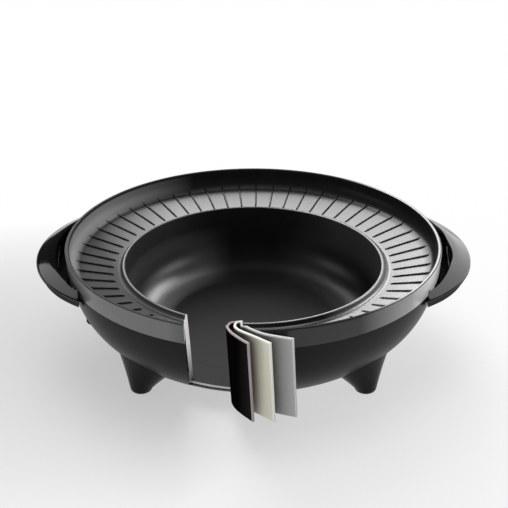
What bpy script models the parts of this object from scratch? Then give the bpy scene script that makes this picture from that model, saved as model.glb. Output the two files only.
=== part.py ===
"""Hot pot and grill combination: a cast pan, with a deep pot inside a ribbed grill ring,
that lifts out of a round heated base with two crescent handles and four feet.

The front of the pan and base is cut open as on a display sample, and the three layers
of the pot wall are peeled out of the cut. Metres, +Z up, origin on the table under the
middle of the pot, handles along X, the cut at the front, towards -Y.
"""

import math

import bmesh
import bpy
from mathutils import Matrix, Vector

# Clearances
SEAT_GAP = 0.0003
PAN_GAP = 0.0008
OVERRUN = 0.004
MERGE_DISTANCE = 0.000001

# Pan: the pot
POT_RADIUS = 0.131
POT_DRAFT = 0.0007
POT_WALL = 0.00665
POT_DEPTH = 0.070
POT_FILLET = 0.020
POT_CORNER = 0.019
COLLAR_LIP = 0.0036
COLLAR_ROUND = 0.0013
COLLAR_RISE = 0.0038
COLLAR_FLANK = 0.0095
# Points of the flank, as shares of its width and of the rise, from the lip down.
COLLAR_FLANK_SHARES = ((0.70, 0.30), (0.35, 0.07))

# Pan: the grill ring and its rim
RING_WIDTH = 0.0455
RIM_WALL = 0.004
RIM_ROUND = 0.0014
RIM_RISE = 0.025
BAND_HEIGHT = 0.0195
BAND_DRAFT = 0.0007
RING_RISE = 0.0075
RING_FILLET = 0.014
RING_WALL = 0.0045
RIB_COUNT = 56
RIB_WIDTH = 0.0017
RIB_HEIGHT = 0.0015
RIB_INNER_INSET = 0.0015
RIB_OUTER_INSET = 0.0065
RIB_TURN = -1.0

# Base: the shell
COVER_CLEARANCE = 0.0042
COVER_SHEET = 0.0015
SHELL_SHEET = 0.0015
SHELL_INSET = 0.0037
SHELL_FLOOR_INSET = 0.030
SHELL_RADIUS_POWER = 1.32
SHELL_HEIGHT_POWER = 0.95
SHELL_LIP = 0.0076
UNDER_POT_ROOM = 0.00635
FLANGE_DROP = 0.007
FLANGE_WIDTH = 0.0088
GASKET_WIDTH = 0.004
GASKET_INSET = 0.0015

# Window cut in the front
# Angles round the pot, at the cut's foot and top: the wall's left end, then the rim's.
LEFT_CUT_ANGLES = ((116.2, 106.0), (119.0, 107.3))
RIGHT_CUT_ANGLES = (94.0, 86.7)
WINDOW_FLOOR_RISE = 0.0003
WINDOW_OVERRUN = 0.012

# Peeled layers
LAYER_LEAN = 0.0042
LAYER_FRONT_TOP_DROP = 0.0004
LAYER_NAMES = ("nonstick_layer", "alloy_layer", "outer_layer")
# Places of each sheet past its root: across, as shares of the rim radius, and forward, as
# shares of the way from the pot wall to the rim.
LAYER_PATH_SHARES = (
    ((-0.071, -0.102), (-0.088, -0.049), (-0.110, 0.071), (-0.118, 0.347), (-0.121, 0.637),
     (-0.120, 0.819), (-0.103, 0.993), (-0.066, 1.181), (-0.020, 1.370)),
    ((-0.0645, -0.054), (-0.0765, -0.004), (-0.092, 0.100), (-0.098, 0.347), (-0.098, 0.637),
     (-0.088, 0.822), (-0.060, 0.956), (0.002, 1.138), (0.078, 1.370)),
    ((-0.0585, -0.007), (-0.0635, 0.045), (-0.075, 0.136), (-0.078, 0.347), (-0.066, 0.601),
     (-0.040, 0.782), (-0.002, 0.935), (0.060, 1.080), (0.182, 1.229)),
)
# Height of a sheet's ends along its path: the share of the way, and of the rise.
LAYER_RISE_SHARES = ((0.0, 0.0), (0.17, 0.02), (0.62, 0.845), (0.72, 0.94), (0.86, 1.0), (1.0, 1.0))
LAYER_FOOT_RISE_SHARES = ((0.0, 0.0), (0.17, 0.0), (0.62, 0.21), (1.0, 0.2))

# Handles
HANDLE_REACH = 0.0313
HANDLE_TOP_BEND_SHARE = 0.6958
HANDLE_CROWN = 0.0062
HANDLE_CROWN_INSET = 0.0170
HANDLE_LOW_REACH = 0.027
HANDLE_LOW_BEND_SHARE = 0.5542
HANDLE_TOP_DROP = 0.015
HANDLE_HEIGHT = 0.021
HANDLE_ROOT_INSET = 0.050
HANDLE_EDGE = 0.0028
SLOT_WIDTH = 0.0148
SLOT_HALF_ANGLE = 24.0
SLOT_DEPTH = 0.0155
POCKET_DEPTH = 0.003
POCKET_WALL = 0.004
POCKET_EDGE = 0.0056
POCKET_SPREAD_SHARE = 0.86
HANDLE_SCREW_ANGLE = 25.5
HANDLE_SCREW_RISE = 0.0042

# Levels of a handle, from its underside to its outer top edge, as shares: height, way from
# the low outline to the top one, and edge drawn in.
HANDLE_LEVEL_SHARES = ((0.0, 0.0, 2.0), (0.10, 0.0, 0.7), (0.28, 0.0, 0.0), (0.86, 0.93, 0.0),
                       (0.96, 1.0, 0.35), (1.0, 1.0, 0.9))

# Feet
FOOT_STAND_OUT = 0.01635
FOOT_ANGLES = {"front_left": 225.0, "front_right": 315.0, "rear_left": 135.0, "rear_right": 45.0}
FOOT_TIP = 0.011
FOOT_TOP = 0.046
FOOT_TIP_HEIGHT = 0.005
FOOT_SOLE_RISE = 0.0012
FOOT_SOLE_ROUND = 0.003
FOOT_SOLE_SHARES = (0.30, 0.35)
FOOT_LEVEL_SHARES = (0.2, 0.4, 0.6, 0.8, 1.0)
FOOT_GROWTH_IN = 0.025
FOOT_GROWTH_ACROSS = 0.030
FOOT_FLARE = 0.012
FOOT_SHIFT_IN = 0.0235
PAD_RADIUS = 0.0065
PAD_HEIGHT = 0.0024
FOOT_SCREW_INSET = 0.004
FOOT_SCREW_DEPTH = 0.012

# Screws
SCREW_RADIUS = 0.002
SCREW_HEAD_RADIUS = 0.0034
SCREW_HEAD_HEIGHT = 0.0018
SCREW_CROWN_SHARE = 0.6
SCREW_SIDE_SHARE = 0.4
NUT_RADIUS = 0.0036
NUT_HEIGHT = 0.0018
BASE_SCREW_INSET = 0.00335
BASE_SCREW_COUNT = 4
HANDLE_SCREW_LENGTH = 0.0065

# Heating element
ELEMENT_SHARE = 0.61
ELEMENT_TUBE = 0.00325
ELEMENT_GAP = 0.00035
ELEMENT_SINK = 0.0004
ELEMENT_LEG_OFFSET = 0.014
ELEMENT_LEG_INSET = 0.00365
ELEMENT_BEND = 0.008
STUD_LENGTH = 0.006
STUD_RADIUS = 0.0013
BEAD_LENGTH = 0.0028
BEAD_RADIUS = 0.0024
SADDLE_ANGLES = (0.0, 60.0, 120.0, 240.0, 300.0)
SADDLE_WIDTH = 0.010
SADDLE_LENGTH = 0.014

# Reflector and bottom cover
REFLECTOR_SHEET = 0.0006
REFLECTOR_STEP_INSET = 0.0016
COVER_LAP = 0.00035
VENT_COUNT = 16
VENT_SHARE = 0.72
VENT_LENGTH = 0.022
VENT_WIDTH = 0.005
CUTOUT_RADIUS = 0.008
CUTOUT_FLANGE = 0.011
CUTOUT_FLANGE_HEIGHT = 0.0008
LUG_REACH = 0.005
LUG_WIDTH = 0.0030
LUG_HEIGHT = 0.0010
LUG_OFFSET = 0.004

# Inlet
INLET_FACE_INSET = 0.018
INLET_SIDE_ROOM = 0.0022
INLET_WALL = 0.002
INLET_FACE_RISE = 0.012
INLET_FACE_DROP = 0.008
INLET_CHIN = 0.004
INLET_CHIN_SHARES = (0.3, 0.6)
INLET_SLOPE_SHARE = 0.4
INLET_TAIL_SLOPE = 0.01835
INLET_TAIL_LAP = 0.00185
INLET_TAIL_RISE = 0.0002
INLET_TAIL_DEPTH = 0.0153
INLET_CORNER = 0.004
INLET_HEIGHT_SHARE = 0.274
SHELL_CUTOUT_HALF = 0.025
SHELL_CUTOUT_RISE = 0.009
MOUTH_HALF_WIDTH = 0.020
MOUTH_HALF_HEIGHT = 0.007
BLOCK_INSET = 0.011
BLOCK_DEPTH = 0.005
BLOCK_DROP = 0.0125
PIN_OFFSET = 0.0125
PIN_RADIUS = 0.0021
PIN_REACH = 0.008
SLEEVE_RADIUS = 0.0045
SLEEVE_WALL = 0.0007

# Leads, with their routes as shares of the way out, across and up, then of the climb
LEAD_RADIUS = 0.0013
LEAD_RISE = 0.0027
LEAD_CORNER_INSET = 0.0077
LEAD_CORNER_RISE = 0.0013
LIVE_ROUTE_SHARES = ((0.0, 0.0, 0.0), (0.23, 0.0, 0.0), (0.49, 0.0, 0.0), (0.74, 0.06, 0.5),
                     (0.87, 0.30, 0.7), (0.94, 0.65, 0.9))
NEUTRAL_ROUTE_SHARES = ((0.0, 0.0, 0.0), (0.15, 0.0, 0.0), (0.45, 0.4, 1.0), (0.70, 0.8, 1.0))
JUMPER_ROUTE_SHARES = ((0.0, 0.0, 0.0), (0.35, 0.05, 0.0), (0.70, 0.05, 0.0), (0.94, 0.08, 0.2),
                       (1.03, 0.20, 0.3), (1.055, 0.60, 0.35), (1.05, 0.97, 0.95), (1.0, 1.0, 1.0))
CLIMB_SHARES = ((0.0, 0.0), (0.23, 0.11), (0.43, 0.335), (0.58, 0.63), (0.78, 0.925), (1.0, 1.0))

# Detail of round shapes
ROUND_STEPS = 64
MEDIUM_STEPS = 48
CUP_STEPS = 16
SMALL_STEPS = 12
SCREW_STEPS = 10
NUT_STEPS = 6
FOOT_STEPS = 20
SMOOTH_ANGLE = 35.0

# Heights, worked out from the table up
SHELL_FLOOR_Z = COVER_CLEARANCE + COVER_SHEET + SEAT_GAP
POT_UNDERSIDE_Z = SHELL_FLOOR_Z + UNDER_POT_ROOM
POT_FLOOR_Z = POT_UNDERSIDE_Z + POT_WALL
COLLAR_TOP_Z = POT_FLOOR_Z + POT_DEPTH
RIM_TOP_Z = COLLAR_TOP_Z + RIM_RISE
BAND_BOTTOM_Z = RIM_TOP_Z - BAND_HEIGHT
RING_INNER_Z = COLLAR_TOP_Z - COLLAR_RISE
SHELL_TOP_Z = BAND_BOTTOM_Z - PAN_GAP
FLANGE_TOP_Z = BAND_BOTTOM_Z - FLANGE_DROP
WINDOW_FLOOR_Z = POT_FLOOR_Z + WINDOW_FLOOR_RISE
HANDLE_TOP_Z = RIM_TOP_Z - HANDLE_TOP_DROP
HANDLE_BOTTOM_Z = HANDLE_TOP_Z - HANDLE_HEIGHT
REFLECTOR_FLOOR_Z = COVER_CLEARANCE + COVER_SHEET + SEAT_GAP
REFLECTOR_TOP_Z = REFLECTOR_FLOOR_Z + REFLECTOR_SHEET
REFLECTOR_FLANGE_Z = SHELL_FLOOR_Z + SHELL_SHEET + SEAT_GAP
LEAD_Z = REFLECTOR_TOP_Z + LEAD_RISE
ELEMENT_Z = POT_UNDERSIDE_Z - ELEMENT_SINK
GROOVE_ROOF_Z = ELEMENT_Z + ELEMENT_TUBE + ELEMENT_GAP
INLET_HEIGHT = POT_FLOOR_Z + POT_DEPTH * INLET_HEIGHT_SHARE
INLET_FACE_TOP = INLET_HEIGHT + INLET_FACE_RISE
INLET_FACE_BOTTOM = INLET_HEIGHT - INLET_FACE_DROP
SHELL_CUTOUT_TOP = INLET_HEIGHT + SHELL_CUTOUT_RISE
BLOCK_BOTTOM = INLET_HEIGHT - BLOCK_DROP

# Radii, worked out from the middle out
POT_OUTER = POT_RADIUS + POT_WALL
RING_INNER = POT_RADIUS + COLLAR_FLANK
RIM_INNER = RING_INNER + RING_WIDTH
RIM_RADIUS = RIM_INNER + RIM_WALL
HANDLE_TOP_BEND = RIM_RADIUS * HANDLE_TOP_BEND_SHARE
HANDLE_LOW_BEND = RIM_RADIUS * HANDLE_LOW_BEND_SHARE
SHELL_TOP = RIM_RADIUS - SHELL_INSET
SHELL_FLOOR = POT_OUTER - SHELL_FLOOR_INSET
SHELL_LIP_INNER = SHELL_FLOOR - SHELL_LIP
PAN_STEP = SHELL_TOP - SHELL_SHEET - 2 * PAN_GAP
FLANGE_INNER = SHELL_TOP - SHELL_SHEET - FLANGE_WIDTH
LAYER_SHEET = (POT_WALL - 2 * SEAT_GAP) / len(LAYER_NAMES)
COVER_RADIUS = SHELL_FLOOR + COVER_LAP
REFLECTOR_FLANGE = COVER_RADIUS
VENT_PLACE = COVER_RADIUS * VENT_SHARE
BASE_SCREW_PLACE = SHELL_FLOOR - BASE_SCREW_INSET
FOOT_PLACE = POT_OUTER + FOOT_STAND_OUT
FOOT_SCREW_PLACE = FOOT_PLACE - FOOT_SCREW_INSET
ELEMENT_RADIUS = POT_RADIUS * ELEMENT_SHARE
ELEMENT_LEG_END = SHELL_FLOOR - ELEMENT_LEG_INSET
INLET_HALF_WIDTH = SHELL_CUTOUT_HALF + INLET_SIDE_ROOM
INLET_FACE = RIM_RADIUS - INLET_FACE_INSET
INLET_TAIL_TOP = SHELL_FLOOR + INLET_TAIL_SLOPE
INLET_TAIL_END = SHELL_FLOOR + INLET_TAIL_LAP
BLOCK_FACE = INLET_FACE - BLOCK_INSET


def clear_scene():
    for obj in list(bpy.data.objects):
        bpy.data.objects.remove(obj, do_unlink=True)


def finish(name, colour, roughness, metallic):
    material = bpy.data.materials.new(name + "_finish")
    material.use_nodes = True
    shader = material.node_tree.nodes["Principled BSDF"]
    shader.inputs["Base Color"].default_value = (*colour, 1.0)
    shader.inputs["Roughness"].default_value = roughness
    shader.inputs["Metallic"].default_value = metallic
    return material


FINISHES = {
    "coated": ((0.022, 0.022, 0.024), 0.42, 0.0),
    "sheet": ((0.035, 0.035, 0.037), 0.38, 0.3),
    "moulded": ((0.012, 0.012, 0.013), 0.18, 0.0),
    "rubber": ((0.02, 0.02, 0.02), 0.85, 0.0),
    "steel": ((0.55, 0.55, 0.56), 0.35, 1.0),
    "alloy": ((0.50, 0.48, 0.38), 0.45, 0.6),
    "outer": ((0.26, 0.26, 0.26), 0.45, 0.3),
    "dark_layer": ((0.012, 0.010, 0.010), 0.5, 0.0),
    "brass": ((0.60, 0.45, 0.20), 0.35, 1.0),
    "ceramic": ((0.72, 0.70, 0.66), 0.6, 0.0),
    "silicone_red": ((0.45, 0.04, 0.03), 0.5, 0.0),
    "silicone_blue": ((0.05, 0.09, 0.35), 0.5, 0.0),
    "silicone_white": ((0.65, 0.64, 0.60), 0.5, 0.0),
}


def place(name, mesh_or_curve, finish_name, parent):
    obj = bpy.data.objects.new(name, mesh_or_curve)
    bpy.context.scene.collection.objects.link(obj)
    obj.data.materials.append(finish(name, *FINISHES[finish_name]))
    if parent is not None:
        obj.parent = parent
        obj.matrix_parent_inverse = Matrix.Translation(-parent.location)
    return obj


def solid(name, bm, finish_name="steel", parent=None, smooth=True):
    """A mesh object from a bmesh, with its faces turned out and its soft edges shaded smooth."""
    bmesh.ops.remove_doubles(bm, verts=bm.verts, dist=MERGE_DISTANCE)
    bmesh.ops.recalc_face_normals(bm, faces=bm.faces)
    mesh = bpy.data.meshes.new(name)
    bm.to_mesh(mesh)
    bm.free()
    if smooth:
        mesh.shade_smooth()
        mesh.set_sharp_from_angle(angle=math.radians(SMOOTH_ANGLE))
    return place(name, mesh, finish_name, parent)


def cutter(name, bm):
    obj = solid(name, bm, smooth=False)
    obj.hide_render = True
    obj.display_type = "WIRE"
    return obj


def combine(obj, other, operation="DIFFERENCE"):
    """Cut another solid from this one, or join it on, and apply the result."""
    modifier = obj.modifiers.new(operation.lower(), "BOOLEAN")
    modifier.operation = operation
    modifier.solver = "EXACT"
    modifier.object = other
    graph = bpy.context.evaluated_depsgraph_get()
    result = bpy.data.meshes.new_from_object(obj.evaluated_get(graph), depsgraph=graph)
    obj.modifiers.clear()
    old = obj.data
    obj.data = result
    bpy.data.meshes.remove(old)
    tidy(obj)


def tidy(obj):
    bm = bmesh.new()
    bm.from_mesh(obj.data)
    bmesh.ops.remove_doubles(bm, verts=bm.verts, dist=MERGE_DISTANCE)
    bmesh.ops.dissolve_degenerate(bm, edges=bm.edges, dist=MERGE_DISTANCE)
    bmesh.ops.holes_fill(bm, edges=[edge for edge in bm.edges if edge.is_boundary])
    bm.to_mesh(obj.data)
    bm.free()
    obj.data.shade_smooth()
    obj.data.set_sharp_from_angle(angle=math.radians(SMOOTH_ANGLE))


def drop(*objects):
    for obj in objects:
        bpy.data.objects.remove(obj, do_unlink=True)


def arc(centre, radius, start, end, steps):
    """Points on a circle in a plane, angles in degrees."""
    points = []
    for step in range(steps + 1):
        angle = math.radians(start + (end - start) * step / steps)
        points.append((centre[0] + radius * math.cos(angle), centre[1] + radius * math.sin(angle)))
    return points


def lathe(profile, steps):
    """Turn a closed profile of radius and height round the Z axis."""
    bm = bmesh.new()
    verts = [bm.verts.new((r, 0, z)) for r, z in profile]
    pairs = zip(verts, verts[1:] + verts[:1])
    edges = [bm.edges.new(pair) for pair in pairs if pair[0].co.x or pair[1].co.x]
    bmesh.ops.spin(bm, geom=verts + edges, cent=(0, 0, 0), axis=(0, 0, 1),
                   angle=2 * math.pi, steps=steps, use_merge=True)
    bmesh.ops.remove_doubles(bm, verts=bm.verts, dist=MERGE_DISTANCE)
    return bm


def prism(outline, low, high):
    """A plan outline raised from one height to another."""
    bm = bmesh.new()
    face = bm.faces.new([bm.verts.new((x, y, low)) for x, y in outline])
    raised = bmesh.ops.extrude_face_region(bm, geom=[face])["geom"]
    lifted = [item for item in raised if isinstance(item, bmesh.types.BMVert)]
    bmesh.ops.translate(bm, vec=(0, 0, high - low), verts=lifted)
    return bm


def side_prism(outline, half_width):
    """A side outline of distance out along -X and height, made as wide as given across Y."""
    bm = bmesh.new()
    face = bm.faces.new([bm.verts.new((-r, -half_width, z)) for r, z in outline])
    raised = bmesh.ops.extrude_face_region(bm, geom=[face])["geom"]
    lifted = [item for item in raised if isinstance(item, bmesh.types.BMVert)]
    bmesh.ops.translate(bm, vec=(0, 2 * half_width, 0), verts=lifted)
    return bm


def box(low, high):
    bm = bmesh.new()
    bmesh.ops.create_cube(bm, size=1)
    size = Vector(high) - Vector(low)
    middle = (Vector(high) + Vector(low)) / 2
    bmesh.ops.scale(bm, vec=size, verts=bm.verts)
    bmesh.ops.translate(bm, vec=middle, verts=bm.verts)
    return bm


def loft(rings):
    """A closed solid through rings that have the same number of points."""
    bm = bmesh.new()
    rows = [[bm.verts.new(point) for point in ring] for ring in rings]
    count = len(rows[0])
    for low, high in zip(rows[:-1], rows[1:]):
        for index in range(count):
            following = (index + 1) % count
            bm.faces.new((low[index], low[following], high[following], high[index]))
    bm.faces.new(list(reversed(rows[0])))
    bm.faces.new(rows[-1])
    return bm


def add_to(bm, other):
    """Put a second bmesh into the first one, as a separate solid."""
    mesh = bpy.data.meshes.new("part")
    other.to_mesh(mesh)
    other.free()
    bm.from_mesh(mesh)
    bpy.data.meshes.remove(mesh)
    return bm


def turned(bm, degrees, axis="Z"):
    bmesh.ops.rotate(bm, verts=bm.verts, cent=(0, 0, 0),
                     matrix=Matrix.Rotation(math.radians(degrees), 3, axis))
    return bm


def moved(bm, vector):
    bmesh.ops.translate(bm, verts=bm.verts, vec=vector)
    return bm


def tube(name, points, radius, finish_name, parent, resolution=1):
    curve = bpy.data.curves.new(name, "CURVE")
    curve.dimensions = "3D"
    curve.bevel_depth = radius
    curve.bevel_resolution = resolution
    curve.use_fill_caps = True
    spline = curve.splines.new("POLY")
    spline.points.add(len(points) - 1)
    for point, place_at in zip(spline.points, points):
        point.co = (*place_at, 1.0)
    return place(name, curve, finish_name, parent)


def smooth_path(points, steps):
    """Points on a smooth curve through the given ones, with even steps between each pair."""
    vectors = [Vector(point) for point in points]
    padded = [2 * vectors[0] - vectors[1]] + vectors + [2 * vectors[-1] - vectors[-2]]
    path = []
    for before, start, end, after in zip(padded, padded[1:], padded[2:], padded[3:]):
        for step in range(steps):
            t = step / steps
            path.append(0.5 * (2 * start + (end - before) * t
                               + (2 * before - 5 * start + 4 * end - after) * t ** 2
                               + (3 * start - before - 3 * end + after) * t ** 3))
    path.append(vectors[-1])
    return path


def along(table, share):
    """Straight-line reading of a table of pairs at the given share."""
    for (start, low), (end, high) in zip(table[:-1], table[1:]):
        if share <= end:
            return low + (high - low) * (share - start) / (end - start)
    return table[-1][1]


def shell_line(grow, steps):
    """The shell's outer line from its top edge to its floor, moved out by the given amount."""
    points = []
    for step in range(steps + 1):
        turn = math.pi / 2 * step / steps
        out = max(math.cos(turn), 0) ** SHELL_RADIUS_POWER
        down = math.sin(turn) ** SHELL_HEIGHT_POWER
        radius = SHELL_FLOOR + (SHELL_TOP + grow - SHELL_FLOOR) * out
        height = SHELL_TOP_Z - (SHELL_TOP_Z - SHELL_FLOOR_Z + grow) * down
        points.append((radius, height))
    return points


def shell_radius_at(height, grow):
    """Radius of that line at a height."""
    line = shell_line(grow, ROUND_STEPS)
    for (r0, z0), (r1, z1) in zip(line[:-1], line[1:]):
        if z1 <= height <= z0:
            return r0 + (r1 - r0) * (z0 - height) / (z0 - z1)
    return line[-1][0]


def shell_core(grow):
    """The solid space that the shell fills, used to cut what seats against its outside."""
    line = shell_line(grow, MEDIUM_STEPS // 2)
    core = lathe([(0, SHELL_TOP_Z)] + line + [(0, line[-1][1])], ROUND_STEPS)
    return turned(core, 180 / ROUND_STEPS)


def ring_surface_z(radius):
    """Height of the grill ring's upper face at a radius, before its outer fillet."""
    return RING_INNER_Z + (radius - RING_INNER) * ring_slope()


def ring_slope():
    return RING_RISE / (RIM_INNER - RING_FILLET - RING_INNER)


def pan_profile():
    tilt = math.degrees(math.atan(ring_slope()))
    fillet_middle = RIM_INNER - RING_FILLET
    touch = fillet_middle + RING_FILLET * math.sin(math.radians(tilt))
    fillet_z = ring_surface_z(touch) + RING_FILLET * math.cos(math.radians(tilt))
    rim_low_z = RIM_TOP_Z - RIM_ROUND
    rim = arc((RIM_INNER + RIM_ROUND, rim_low_z), RIM_ROUND, 180, 90, 2)
    rim += arc((RIM_RADIUS - RIM_ROUND, rim_low_z), RIM_ROUND, 90, 0, 2)
    band = [(RIM_RADIUS - BAND_DRAFT, BAND_BOTTOM_Z + PAN_GAP),
            (RIM_RADIUS - BAND_DRAFT - PAN_GAP, BAND_BOTTOM_Z),
            (PAN_STEP, BAND_BOTTOM_Z)]
    under = [(fillet_middle, ring_surface_z(fillet_middle) - RING_WALL),
             (RING_INNER, RING_INNER_Z - RING_WALL),
             (POT_OUTER + RIM_ROUND, RING_INNER_Z - RING_WALL - RIM_ROUND),
             (POT_OUTER, RING_INNER_Z - RING_WALL - POT_WALL)]
    corner_middle = (POT_OUTER - POT_DRAFT - POT_CORNER, POT_UNDERSIDE_Z + POT_CORNER)
    corner = arc(corner_middle, POT_CORNER, 0, -90, 4)
    groove_out = ELEMENT_RADIUS + ELEMENT_TUBE + ELEMENT_GAP
    groove_in = ELEMENT_RADIUS - ELEMENT_TUBE - ELEMENT_GAP
    floor = [(groove_out, POT_UNDERSIDE_Z), (groove_out, GROOVE_ROOF_Z),
             (groove_in, GROOVE_ROOF_Z), (groove_in, POT_UNDERSIDE_Z),
             (0, POT_UNDERSIDE_Z), (0, POT_FLOOR_Z)]
    fillet_at = POT_RADIUS - POT_DRAFT - POT_FILLET
    inside = arc((fillet_at, POT_FLOOR_Z + POT_FILLET), POT_FILLET, -90, 0, 5)
    collar_z = COLLAR_TOP_Z - COLLAR_ROUND
    collar = arc((POT_RADIUS + COLLAR_ROUND, collar_z), COLLAR_ROUND, 180, 90, 2)
    collar += arc((POT_RADIUS + COLLAR_LIP - COLLAR_ROUND, collar_z), COLLAR_ROUND, 60, 30, 1)
    flank = COLLAR_FLANK - COLLAR_LIP
    for width_share, rise_share in COLLAR_FLANK_SHARES:
        collar.append((RING_INNER - flank * width_share, RING_INNER_Z + COLLAR_RISE * rise_share))
    collar.append((RING_INNER, RING_INNER_Z))
    fillet = arc((fillet_middle, fillet_z), RING_FILLET, tilt - 90, 0, 5)
    return rim + band + under + corner + floor + inside + collar + fillet


def rib():
    """One straight rib of the grill ring, lying along +X, its foot sunk in the ring."""
    inner = RING_INNER + RIB_INNER_INSET
    outer = RIM_INNER - RIB_OUTER_INSET + RIB_HEIGHT
    half = RIB_WIDTH / 2
    sink = RING_WALL / 4
    rows = []
    for side in (-half, half):
        rows.append([(inner, side, ring_surface_z(inner) - sink),
                     (outer, side, ring_surface_z(outer) - sink),
                     (outer, side, ring_surface_z(outer) + RIB_HEIGHT),
                     (inner + RIB_HEIGHT, side, ring_surface_z(inner) + RIB_HEIGHT)])
    return loft(rows)


def polar(radius, degrees):
    return (radius * math.cos(math.radians(degrees)), radius * math.sin(math.radians(degrees)))


def window_outline(left_angles):
    """Plan of the cut: through the wall on radial lines, then out past the rim."""
    inside = POT_RADIUS - POT_FILLET
    past = RIM_RADIUS + WINDOW_OVERRUN
    left_wall, left_rim = left_angles
    right_wall, right_rim = RIGHT_CUT_ANGLES
    return [polar(inside, -left_wall), polar(POT_OUTER, -left_wall), polar(past, -left_rim),
            polar(past, -right_rim), polar(POT_OUTER, -right_wall), polar(inside, -right_wall)]


def window_cutter():
    heights = (WINDOW_FLOOR_Z, RIM_TOP_Z + OVERRUN)
    rings = [[(x, y, z) for x, y in window_outline(angles)]
             for angles, z in zip(LEFT_CUT_ANGLES, heights)]
    return cutter("window_cutter", loft(rings))


def element_channels():
    """Space in the pan's underside for the legs of the element and their bends."""
    bm = bmesh.new()
    reach = ELEMENT_TUBE + ELEMENT_GAP
    for side in (-1, 1):
        low = side * ELEMENT_LEG_OFFSET - reach
        high = side * ELEMENT_LEG_OFFSET + reach
        add_to(bm, box((-ELEMENT_LEG_END - ELEMENT_LEG_OFFSET, low, POT_UNDERSIDE_Z - OVERRUN),
                       (-ELEMENT_RADIUS, high, GROOVE_ROOF_Z)))
    return bm


def bend_pockets():
    bm = bmesh.new()
    reach = ELEMENT_TUBE + ELEMENT_GAP
    for side in (-1, 1):
        near = side * (ELEMENT_LEG_OFFSET - reach)
        far = side * (ELEMENT_LEG_OFFSET + ELEMENT_BEND + 2 * reach)
        add_to(bm, box((-ELEMENT_RADIUS - ELEMENT_BEND - reach, min(near, far), POT_UNDERSIDE_Z - OVERRUN),
                       (-ELEMENT_RADIUS + reach, max(near, far), GROOVE_ROOF_Z)))
    return bm


def grill_pan(parent):
    pan = solid("grill_pan", lathe(pan_profile(), ROUND_STEPS), "coated", parent)
    ribs = bmesh.new()
    for index in range(RIB_COUNT):
        add_to(ribs, turned(rib(), RIB_TURN + 360 * index / RIB_COUNT))
    helpers = [cutter("rib_set", ribs), cutter("leg_channels", element_channels()),
               cutter("bend_pockets", bend_pockets()), window_cutter()]
    combine(pan, helpers[0], "UNION")
    for helper in helpers[1:]:
        combine(pan, helper)
    drop(*helpers)
    return pan


def layer(index, parent):
    """One sheet of the pot wall, bent out of the cut and fanned out in front of the rim."""
    depth = POT_RADIUS + (index + 0.5) * LAYER_SHEET + index * SEAT_GAP
    root = polar(depth, -RIGHT_CUT_ANGLES[0] - math.degrees(SEAT_GAP / POT_RADIUS))
    controls = [(root[0], root[1], 0)]
    controls += [(across * RIM_RADIUS, -POT_OUTER - forward * (RIM_RADIUS - POT_OUTER), 0)
                 for across, forward in LAYER_PATH_SHARES[index]]
    path = smooth_path(controls, 4)
    root_normal = Vector((*polar(1, -RIGHT_CUT_ANGLES[0]), 0))
    lengths = [0.0]
    for before, point in zip(path[:-1], path[1:]):
        lengths.append(lengths[-1] + (point - before).length)
    low_start = WINDOW_FLOOR_Z + SEAT_GAP
    rise = RIM_TOP_Z - LAYER_FRONT_TOP_DROP - COLLAR_TOP_Z
    rings = []
    for spot, point in enumerate(path):
        share = lengths[spot] / lengths[-1]
        ahead = path[min(spot + 1, len(path) - 1)] - path[max(spot - 1, 0)]
        across = Vector((-ahead.y, ahead.x, 0)).normalized() * LAYER_SHEET / 2
        if spot == 0:
            across = -root_normal * LAYER_SHEET / 2
        top = COLLAR_TOP_Z + rise * along(LAYER_RISE_SHARES, share)
        foot = low_start + POT_DEPTH * along(LAYER_FOOT_RISE_SHARES, share)
        lean = Vector((LAYER_LEAN * min(2 * share, 1), 0, 0))
        high = Vector((0, 0, top))
        low = Vector((0, 0, foot))
        rings.append([point + across + high, point - across + high,
                      point - across + low + lean, point + across + low + lean])
    finish_name = ("dark_layer", "alloy", "outer")[index]
    return solid(LAYER_NAMES[index], loft(rings), finish_name, parent, smooth=False)


def base_shell(parent):
    outer = shell_line(0, 13)
    inner = list(reversed(shell_line(-SHELL_SHEET, 9)))
    flange_low = FLANGE_TOP_Z - SHELL_SHEET
    inner = [point for point in inner if point[1] < flange_low - SHELL_SHEET]
    profile = outer + [(SHELL_LIP_INNER, SHELL_FLOOR_Z),
                       (SHELL_LIP_INNER, SHELL_FLOOR_Z + SHELL_SHEET)]
    profile += inner
    profile += [(shell_radius_at(flange_low, -SHELL_SHEET), flange_low),
                (FLANGE_INNER, flange_low), (FLANGE_INNER, FLANGE_TOP_Z),
                (shell_radius_at(FLANGE_TOP_Z, -SHELL_SHEET), FLANGE_TOP_Z),
                (SHELL_TOP - SHELL_SHEET, SHELL_TOP_Z)]
    shell = solid("base_shell", lathe(profile, ROUND_STEPS), "sheet", parent)
    cuts = [window_cutter(),
            cutter("inlet_cut", box((-INLET_FACE - OVERRUN, -SHELL_CUTOUT_HALF, SHELL_FLOOR_Z - OVERRUN),
                                    (-INLET_TAIL_END, SHELL_CUTOUT_HALF, SHELL_CUTOUT_TOP))),
            cutter("screw_cuts", shell_screw_holes())]
    for cut in cuts:
        combine(shell, cut)
    drop(*cuts)
    return shell


def rod(radius, low, high, steps=SMALL_STEPS):
    """A round bar along Z."""
    return lathe([(0, high), (radius, high), (radius, low), (0, low)], steps)


def handle_screw_spots():
    for middle in (0, 180):
        for side in (-HANDLE_SCREW_ANGLE, HANDLE_SCREW_ANGLE):
            yield middle + side


def lying(bm, degrees, height):
    """Lay a bar along Z down so that it points out at the given angle and height."""
    turned(bm, 90, "Y")
    turned(bm, degrees)
    return moved(bm, (0, 0, height))


def handle_screw_height():
    return HANDLE_BOTTOM_Z + HANDLE_SCREW_RISE


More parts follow.
